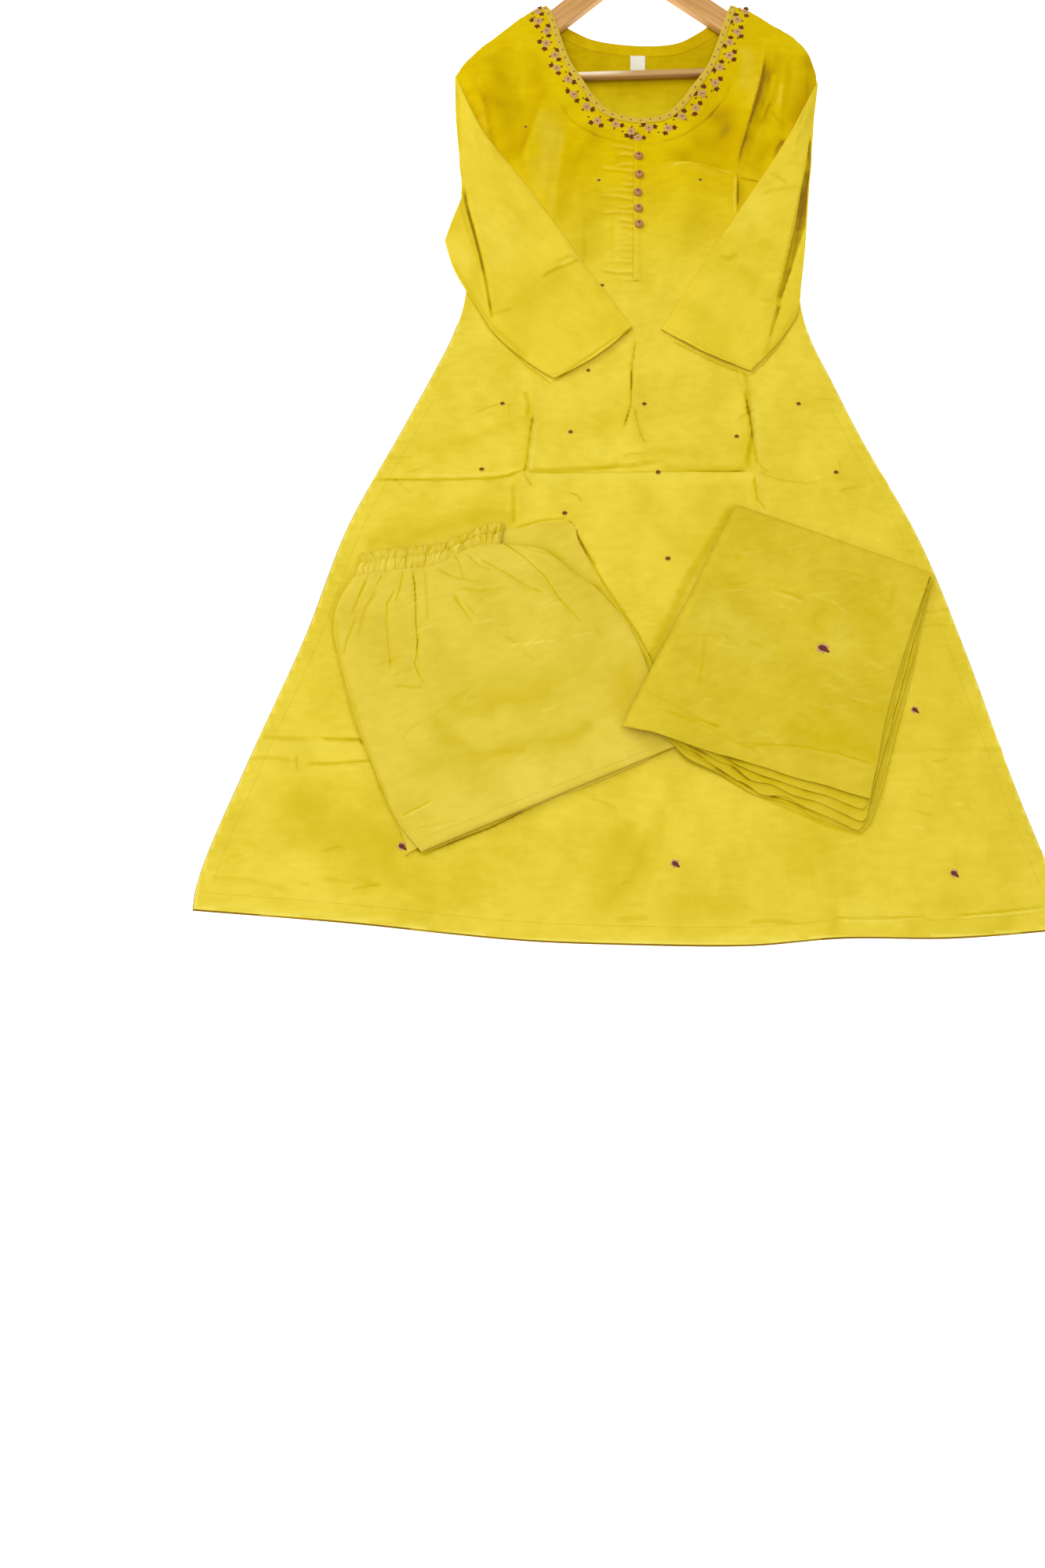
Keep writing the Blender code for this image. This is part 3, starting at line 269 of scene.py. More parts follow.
def samplePath(points, step):
    # a path through points, resampled at even steps
    dense = []
    count = len(points) - 1
    for k in range(count * 40 + 1):
        t = k / (count * 40)
        dense.append(Vector((smoothAlong(points, 0, t), smoothAlong(points, 1, t))))
    run = [0.0]
    for a, b in zip(dense, dense[1:]):
        run.append(run[-1] + (b - a).length)
    steps = max(round(run[-1] / step), 1)
    return [dense[int(np.searchsorted(run, run[-1] * k / steps - 1e-6))] for k in range(steps + 1)]


def faceUp(bm):
    # the upper side of the cloth is its outside
    if sum(face.normal.z for face in bm.faces) < 0:
        bmesh.ops.reverse_faces(bm, faces=bm.faces)


def cutSheet(outline, columnLines, rowLines):
    # a flat sheet with this outline, cut through along the given lines so that it can be shaped
    bm = bmesh.new()
    bm.faces.new([bm.verts.new((x, y, 0.0)) for x, y in outline])
    for axis, lines in ((1, rowLines), (0, columnLines)):
        for at in lines:
            point, way = [0.0, 0.0, 0.0], [0.0, 0.0, 0.0]
            point[axis], way[axis] = at, 1.0
            bmesh.ops.bisect_plane(bm, geom=bm.verts[:] + bm.edges[:] + bm.faces[:], plane_co=point,
                                   plane_no=way, dist=1e-4)
    bmesh.ops.remove_doubles(bm, verts=bm.verts, dist=0.02)
    faceUp(bm)
    return bm


def newGrid(columns, rows):
    # a square of cells, one unit wide, to be bent into a piece
    bm = bmesh.new()
    bmesh.ops.create_grid(bm, x_segments=columns, y_segments=rows, size=0.5)
    return bm


def evenLines(low, high, pitch):
    count = max(round((high - low) / pitch), 1)
    return [mix(low, high, k / count) for k in range(1, count)]


def smoothHeights(bm, rounds, factor=0.5):
    for _ in range(rounds):
        bmesh.ops.smooth_vert(bm, verts=bm.verts, factor=factor, use_axis_x=False, use_axis_y=False,
                              use_axis_z=True)


def layOn(bm, name, smoothing):
    # the sheet laid on a CAD node's upper side and smoothed
    tree = nodeTree(name)
    for vertex in bm.verts:
        vertex.co.z = topAt(tree, vertex.co.x, vertex.co.y)
    smoothHeights(bm, smoothing)


def flatPlaces(bm):
    return np.array([(vertex.co.x, vertex.co.y) for vertex in bm.verts])


def giveWall(bm, wall):
    # the cloth's own thickness: a second skin below the first, joined to it round the rim
    bm.normal_update()
    way = bm.verts.layers.float_vector.new("way")
    for vertex in bm.verts:
        vertex[way] = vertex.normal
    made = bmesh.ops.extrude_face_region(bm, geom=bm.faces[:], use_keep_orig=True)
    for vertex in made["geom"]:
        if isinstance(vertex, bmesh.types.BMVert):
            vertex.co -= vertex[way] * wall
    bm.verts.layers.float_vector.remove(way)
    bmesh.ops.recalc_face_normals(bm, faces=bm.faces)


def addPiece(name, bm, finish, replaced=(), wall=0.0):
    # a finished piece: scaled to metres, riding on the garment
    bmesh.ops.scale(bm, vec=(mm, mm, mm), verts=bm.verts)
    if wall:
        giveWall(bm, wall * mm)
    mesh = bpy.data.meshes.new(name)
    bm.to_mesh(mesh)
    bm.free()
    mesh.shade_smooth()
    mesh.set_sharp_from_angle(angle=math.radians(58.0))
    print(name, sum(len(face.vertices) - 2 for face in mesh.polygons), "triangles")
    for one in finish if isinstance(finish, list) else [finish]:
        mesh.materials.append(one)
    piece = bpy.data.objects.new(name, mesh)
    bpy.context.scene.collection.objects.link(piece)
    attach(piece, "root")
    if replaced:
        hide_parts(*replaced)
    return piece


def sheetArea(bm):
    return sum(face.calc_area() for face in bm.faces) * mm * mm


def paint(red, green, blue):
    # a colour given in steps of 0 to 255, turned linear
    linear = []
    for step in (red, green, blue):
        share = step / 255
        linear.append(share / 12.92 if step < 11 else ((share + 0.055) / 1.055) ** 2.4)
    return (*linear, 1.0)


def newGroup(name, values, outputs):
    # a node group that takes a vector and these colours and numbers
    group = bpy.data.node_groups.new(name, "ShaderNodeTree")
    group.interface.new_socket("Vector", in_out="INPUT", socket_type="NodeSocketVector")
    for label, value in values.items():
        kind = "NodeSocketColor" if isinstance(value, tuple) else "NodeSocketFloat"
        group.interface.new_socket(label, in_out="INPUT", socket_type=kind).default_value = value
    for label in outputs:
        kind = "NodeSocketColor" if label == "Colour" else "NodeSocketFloat"
        group.interface.new_socket(label, in_out="OUTPUT", socket_type=kind)
    return group, group.nodes.new("NodeGroupInput"), group.nodes.new("NodeGroupOutput")


def feed(tree, node, **values):
    # each value is set on the input of that name, or linked to it
    for label, value in values.items():
        socket = node.inputs[label.replace("_", " ")]
        if isinstance(value, bpy.types.NodeSocket):
            tree.links.new(value, socket)
        else:
            socket.default_value = value
    return node


def addMath(tree, operation, first, second=None, third=None):
    node = tree.nodes.new("ShaderNodeMath")
    node.operation = operation
    for socket, value in zip(node.inputs, (first, second, third)):
        if value is None:
            continue
        if isinstance(value, (int, float)):
            socket.default_value = value
        else:
            tree.links.new(value, socket)
    return node.outputs[0]


def times(tree, first, second):
    return addMath(tree, "MULTIPLY", first, second)


def plus(tree, first, second):
    return addMath(tree, "ADD", first, second)


def minus(tree, first, second):
    return addMath(tree, "SUBTRACT", first, second)


def splitVector(tree, vector):
    return feed(tree, tree.nodes.new("ShaderNodeSeparateXYZ"), Vector=vector)


def addNoise(tree, vector, scale, detail, rough, stretch=(1.0, 1.0, 1.0)):
    mapping = feed(tree, tree.nodes.new("ShaderNodeMapping"), Scale=stretch, Vector=vector)
    node = tree.nodes.new("ShaderNodeTexNoise")
    feed(tree, node, Scale=scale, Detail=detail, Roughness=rough, Vector=mapping.outputs[0])
    return node.outputs["Fac"]


def addRange(tree, value, low, high, toLow=0.0, toHigh=1.0):
    node = tree.nodes.new("ShaderNodeMapRange")
    node.interpolation_type = "SMOOTHSTEP"
    feed(tree, node, Value=value, From_Min=low, From_Max=high, To_Min=toLow, To_Max=toHigh)
    return node.outputs[0]


def addMix(tree, factor, first, second):
    node = tree.nodes.new("ShaderNodeMix")
    node.data_type = "RGBA"
    sockets = [s for s in node.inputs if s.type == "RGBA"]
    if isinstance(factor, (int, float)):
        node.inputs["Factor"].default_value = factor
    else:
        tree.links.new(factor, node.inputs["Factor"])
    for socket, value in zip(sockets, (first, second)):
        if isinstance(value, tuple):
            socket.default_value = value
        else:
            tree.links.new(value, socket)
    return next(s for s in node.outputs if s.type == "RGBA")


def makeWeaveGroup():
    # hand-loomed cotton: fine threads both ways, thicker slubs, and a little uneven dye
    values = {"Dye": (0.8, 0.6, 0.04, 1), "Deep dye": (0.7, 0.5, 0.03, 1), "Threads per metre": 1500.0,
              "Slubs": 1.0}
    group, start, end = newGroup("handloomWeave", values, ("Colour", "Height"))
    vector = start.outputs["Vector"]
    split = splitVector(group, vector)
    turns = times(group, start.outputs["Threads per metre"], 2 * math.pi)
    waver = times(group, addNoise(group, vector, 90.0, 3.0, 0.6), 14.0)
    warp = addMath(group, "SINE", addMath(group, "MULTIPLY_ADD", split.outputs["X"], turns, waver))
    weft = addMath(group, "SINE", addMath(group, "MULTIPLY_ADD", split.outputs["Y"], turns, waver))
    threads = times(group, times(group, warp, weft), 0.5)
    warpSlub = addNoise(group, vector, 1.0, 4.0, 0.6, (420.0, 14.0, 60.0))
    weftSlub = addNoise(group, vector, 1.0, 4.0, 0.6, (11.0, 380.0, 60.0))
    slub = times(group, plus(group, warpSlub, weftSlub), start.outputs["Slubs"])
    crinkle = addNoise(group, vector, 1.0, 3.0, 0.5, (60.0, 130.0, 60.0))
    relief = addMath(group, "MULTIPLY_ADD", crinkle, 2.4, times(group, threads, 0.3))
    feed(group, end, Height=addMath(group, "MULTIPLY_ADD", slub, 0.8, relief))
    blotch = addNoise(group, vector, 1.0, 4.0, 0.6, (16.0, 12.0, 15.0))
    patches = addRange(group, blotch, 0.36, 0.66)
    fine = addRange(group, crinkle, 0.3, 0.7)
    tone = addMath(group, "MULTIPLY_ADD", fine, 0.34, times(group, patches, 0.6))
    factor = addMath(group, "MULTIPLY_ADD", slub, 0.22, minus(group, tone, 0.2))
    feed(group, end, Colour=addMix(group, factor, start.outputs["Dye"], start.outputs["Deep dye"]))
    return group


def makeThreadGroup():
    # laid embroidery thread: fine parallel strands with a little change from strand to strand
    values = {"Thread": (0.6, 0.4, 0.2, 1), "Shade": (0.3, 0.2, 0.1, 1), "Strands per metre": 2200.0}
    group, start, end = newGroup("laidThread", values, ("Colour", "Height"))
    split = splitVector(group, start.outputs["Vector"])
    slant = plus(group, split.outputs["X"], times(group, split.outputs["Y"], 0.8))
    turns = times(group, start.outputs["Strands per metre"], 2 * math.pi)
    wave = addMath(group, "SINE", times(group, slant, turns))
    strands = plus(group, times(group, wave, 0.5), 0.5)
    wild = addNoise(group, start.outputs["Vector"], 700.0, 2.0, 0.5)
    # the hollows between strands are painted in the darker shade colour, more in some places than others
    hollow = minus(group, 1.0, strands)
    factor = times(group, hollow, addRange(group, wild, 0.2, 0.8))
    spun = addMix(group, factor, start.outputs["Thread"], start.outputs["Shade"])
    feed(group, end, Colour=spun, Height=strands)
    return group


def makeGrainGroup():
    # beech: long pale streaks, short flecks and a faint waxed wear
    values = {"Pale": (0.8, 0.5, 0.3, 1), "Dark": (0.4, 0.2, 0.1, 1)}
    group, start, end = newGroup("woodGrain", values, ("Colour", "Height", "Wear"))
    vector = start.outputs["Vector"]
    streak = addNoise(group, vector, 1.0, 5.0, 0.6, (9.0, 260.0, 260.0))
    fleck = addNoise(group, vector, 1.0, 2.0, 0.5, (160.0, 1500.0, 1500.0))
    wide = addNoise(group, vector, 1.0, 3.0, 0.5, (5.0, 70.0, 70.0))
    broad = times(group, wide, 0.6)
    tone = plus(group, times(group, streak, 0.6), broad)
    flecks = addMath(group, "GREATER_THAN", fleck, 0.66)
    darker = times(group, flecks, 0.18)
    factor = plus(group, addRange(group, tone, 0.35, 0.85), darker)
    grained = addMix(group, factor, start.outputs["Pale"], start.outputs["Dark"])
    height = minus(group, streak, times(group, flecks, 0.3))
    feed(group, end, Colour=grained, Height=height, Wear=addRange(group, wide, 0.3, 0.7, 0.38, 0.55))
    return group


weaveGroup = makeWeaveGroup()
threadGroup = makeThreadGroup()
grainGroup = makeGrainGroup()


def startMaterial(name, roughness, specular, sheen=0.0, metallic=0.0):
    made = bpy.data.materials.new(name)
    made.use_nodes = True
    tree = made.node_tree
    shader = feed(tree, tree.nodes["Principled BSDF"], Roughness=roughness, Specular_IOR_Level=specular,
                  Sheen_Weight=sheen, Metallic=metallic)
    return made, tree, shader, tree.nodes.new("ShaderNodeTexCoord").outputs["Object"]


def addBump(tree, shader, height, strength, distance):
    bump = feed(tree, tree.nodes.new("ShaderNodeBump"), Strength=strength, Distance=distance, Height=height)
    feed(tree, shader, Normal=bump.outputs[0])


def useGroup(tree, group, vector, **values):
    node = tree.nodes.new("ShaderNodeGroup")
    node.node_tree = group
    return feed(tree, node, Vector=vector, **values)


def readPainted(tree, name, share):
    node = tree.nodes.new("ShaderNodeAttribute")
    node.attribute_name = name
    return times(tree, node.outputs["Fac"], share)


def clothFinish(name, dye, deepDye, turn=0.0, threads=1500.0, upperPaintedLight=None):
    # dyed cotton; the painted shade and painted highlight deepen and lighten it, and its upper part may be
    # painted a deeper tone as shade
    made, tree, shader, where = startMaterial(name, 0.95, 0.02, 0.03)
    feed(tree, shader, Sheen_Roughness=0.5, Sheen_Tint=paint(240, 208, 60))
    mapping = feed(tree, tree.nodes.new("ShaderNodeMapping"), Rotation=(0.0, 0.0, math.radians(turn)),
                   Vector=where)
    colour, deep, shadow = paint(*dye), paint(*deepDye), paint(204, 180, 20)
    if upperPaintedLight:
        split = splitVector(tree, where)
        rise = addRange(tree, split.outputs["Y"], upperPaintedLight["from"], upperPaintedLight["to"])
        colour = addMix(tree, rise, colour, paint(*upperPaintedLight["dye"]))
        deep = addMix(tree, rise, deep, paint(*upperPaintedLight["deepDye"]))
        shadow = addMix(tree, rise, shadow, paint(199, 165, 0))
    weave = useGroup(tree, weaveGroup, mapping.outputs[0], Dye=colour, Deep_dye=deep,
                     Threads_per_metre=threads, Slubs=1.0)
    # painted shade turns the cloth golden and then deep brown, and the painted highlight turns it pale lemon
    shade = readPainted(tree, "shade", 1.0)
    shaded = addMix(tree, times(tree, shade, 2.0), weave.outputs["Colour"], shadow)
    deepest = addRange(tree, shade, 0.45, 1.0)
    shaded = addMix(tree, deepest, shaded, paint(142, 106, 22))
    lit = addMix(tree, readPainted(tree, "paintedHighlight", 0.6), shaded, paint(252, 236, 110))
    feed(tree, shader, Base_Color=lit)
    addBump(tree, shader, weave.outputs["Height"], 0.35, 0.0003)
    return made


def threadFinish(name, thread, shade, strands=2200.0):
    made, tree, shader, where = startMaterial(name, 0.6, 0.15)
    node = useGroup(tree, threadGroup, where, Thread=paint(*thread), Shade=paint(*shade),
                    Strands_per_metre=strands)
    feed(tree, shader, Base_Color=node.outputs["Colour"])
    addBump(tree, shader, node.outputs["Height"], 0.5, 0.0002)
    return made


def woodFinish(name, pale, dark, forked):
    # the grain runs along each arm: the axis is folded over so that both arms share one direction
    made, tree, shader, where = startMaterial(name, 0.45, 0.45)
    mapping = tree.nodes.new("ShaderNodeMapping")
    mapping.vector_type = "TEXTURE"
    middle = (hanger["centre"][0] * mm, hanger["centre"][1] * mm, 0.0)
    feed(tree, mapping, Location=middle, Rotation=(0.0, 0.0, hanger["turn"]), Vector=where)
    vector = mapping.outputs[0]
    split = splitVector(tree, vector)
    if forked:
        across = addMath(tree, "ABSOLUTE", split.outputs["X"])
        c, s = math.cos(hanger["slope"]), math.sin(hanger["slope"])
        alongArm = minus(tree, times(tree, across, c), times(tree, split.outputs["Y"], s))
        acrossArm = plus(tree, times(tree, across, s), times(tree, split.outputs["Y"], c))
        joined = feed(tree, tree.nodes.new("ShaderNodeCombineXYZ"), X=alongArm, Y=acrossArm,
                      Z=split.outputs["Z"])
        vector = joined.outputs[0]
    grain = useGroup(tree, grainGroup, vector, Pale=paint(*pale), Dark=paint(*dark))
    colour = grain.outputs["Colour"]
    if not forked:
        # the round bar gets a painted highlight on its upper side towards one end, and a painted shade
        # underneath
        wearAndHighlight = addRange(tree, split.outputs["X"], 0.0, -0.045)
        upperPaintedLight = addRange(tree, split.outputs["Y"], -0.0032, 0.0, 0.0, 0.9)
        colour = addMix(tree, times(tree, wearAndHighlight, upperPaintedLight), colour, paint(252, 234, 208))
        paintedUnderShade = addRange(tree, split.outputs["Y"], -0.003, -0.0046, 0.0, 0.75)
        colour = addMix(tree, paintedUnderShade, colour, paint(150, 102, 46))
    feed(tree, shader, Base_Color=colour, Roughness=grain.outputs["Wear"])
    addBump(tree, shader, grain.outputs["Height"], 0.3, 0.0003)
    return made


finishes = {
    # the front's upper dye is painted shade: the bodice is painted a deeper gold than the skirt, where less
    # light falls on it
    "front": clothFinish("kurtaFrontCotton", (235, 211, 68), (219, 195, 50), upperPaintedLight={
        "from": 0.06, "to": 0.30, "dye": (225, 196, 7), "deepDye": (209, 176, 1)}),
    # the back's upper dye is painted shade: the inside of the neck, under the front, is painted darker
    "back": clothFinish("kurtaBackCotton", (222, 197, 34), (206, 180, 18), upperPaintedLight={
        "from": 0.31, "to": 0.41, "dye": (204, 175, 6), "deepDye": (184, 153, 0)}),
    "facing": clothFinish("facingCotton", (212, 180, 8), (194, 160, 2)),
    "sleeve": clothFinish("sleeveCotton", (235, 208, 60), (222, 195, 44), turn=38.0),
    "sleeveRight": clothFinish("sleeveRightCotton", (234, 208, 60), (220, 194, 44), turn=-34.0),
    "trouser": clothFinish("trouserCotton", (227, 203, 73), (213, 189, 55), turn=-21.0),
    "dupatta": clothFinish("dupattaCotton", (220, 196, 54), (205, 180, 36), turn=-16.0,
                           threads=1900.0),
    "braid": threadFinish("goldBraid", (222, 191, 62), (202, 168, 42)),
    "button": threadFinish("tanThread", (204, 150, 98), (160, 106, 62)),
    "petal": threadFinish("blushThread", (214, 170, 108), (182, 132, 76)),
    "leaf": threadFinish("umberThread", (112, 60, 6), (78, 36, 4)),
    "olive": threadFinish("oliveThread", (148, 112, 6), (116, 82, 2)),
    "eye": threadFinish("roseThread", (152, 96, 54), (118, 66, 34)),
    "buti": threadFinish("madderThread", (122, 56, 48), (84, 32, 30)),
    "seed": threadFinish("walnutThread", (116, 80, 2), (82, 54, 0)),
    "knot": threadFinish("knotThread", (130, 62, 48), (92, 36, 30)),
    "stitch": threadFinish("sewingThread", (214, 186, 50), (176, 144, 24), strands=3000.0),
    "wood": woodFinish("beechArms", (226, 176, 106), (186, 128, 64), True),
    "bar": woodFinish("beechBar", (216, 172, 104), (178, 132, 66), False),
}


def makeSteel():
    made, tree, shader, where = startMaterial("brightSteel", 0.25, 0.5, metallic=1.0)
    scuff = addNoise(tree, where, 900.0, 3.0, 0.6)
    wearAndHighlight = addRange(tree, scuff, 0.3, 0.75, 0.18, 0.36)
    feed(tree, shader, Base_Color=(0.62, 0.62, 0.64, 1.0), Roughness=wearAndHighlight)
    addBump(tree, shader, scuff, 0.08, 0.0002)
    return made


def makeTape():
    made, tree, shader, where = startMaterial("labelTape", 0.7, 0.3, 0.1)
    node = useGroup(tree, weaveGroup, where, Dye=paint(238, 232, 214), Deep_dye=paint(222, 214, 190),
                    Threads_per_metre=2600.0, Slubs=0.5)
    feed(tree, shader, Base_Color=node.outputs["Colour"])
    addBump(tree, shader, node.outputs["Height"], 0.4, 0.0002)
    return made


finishes["steel"] = makeSteel()
finishes["tape"] = makeTape()
print("finishes made")


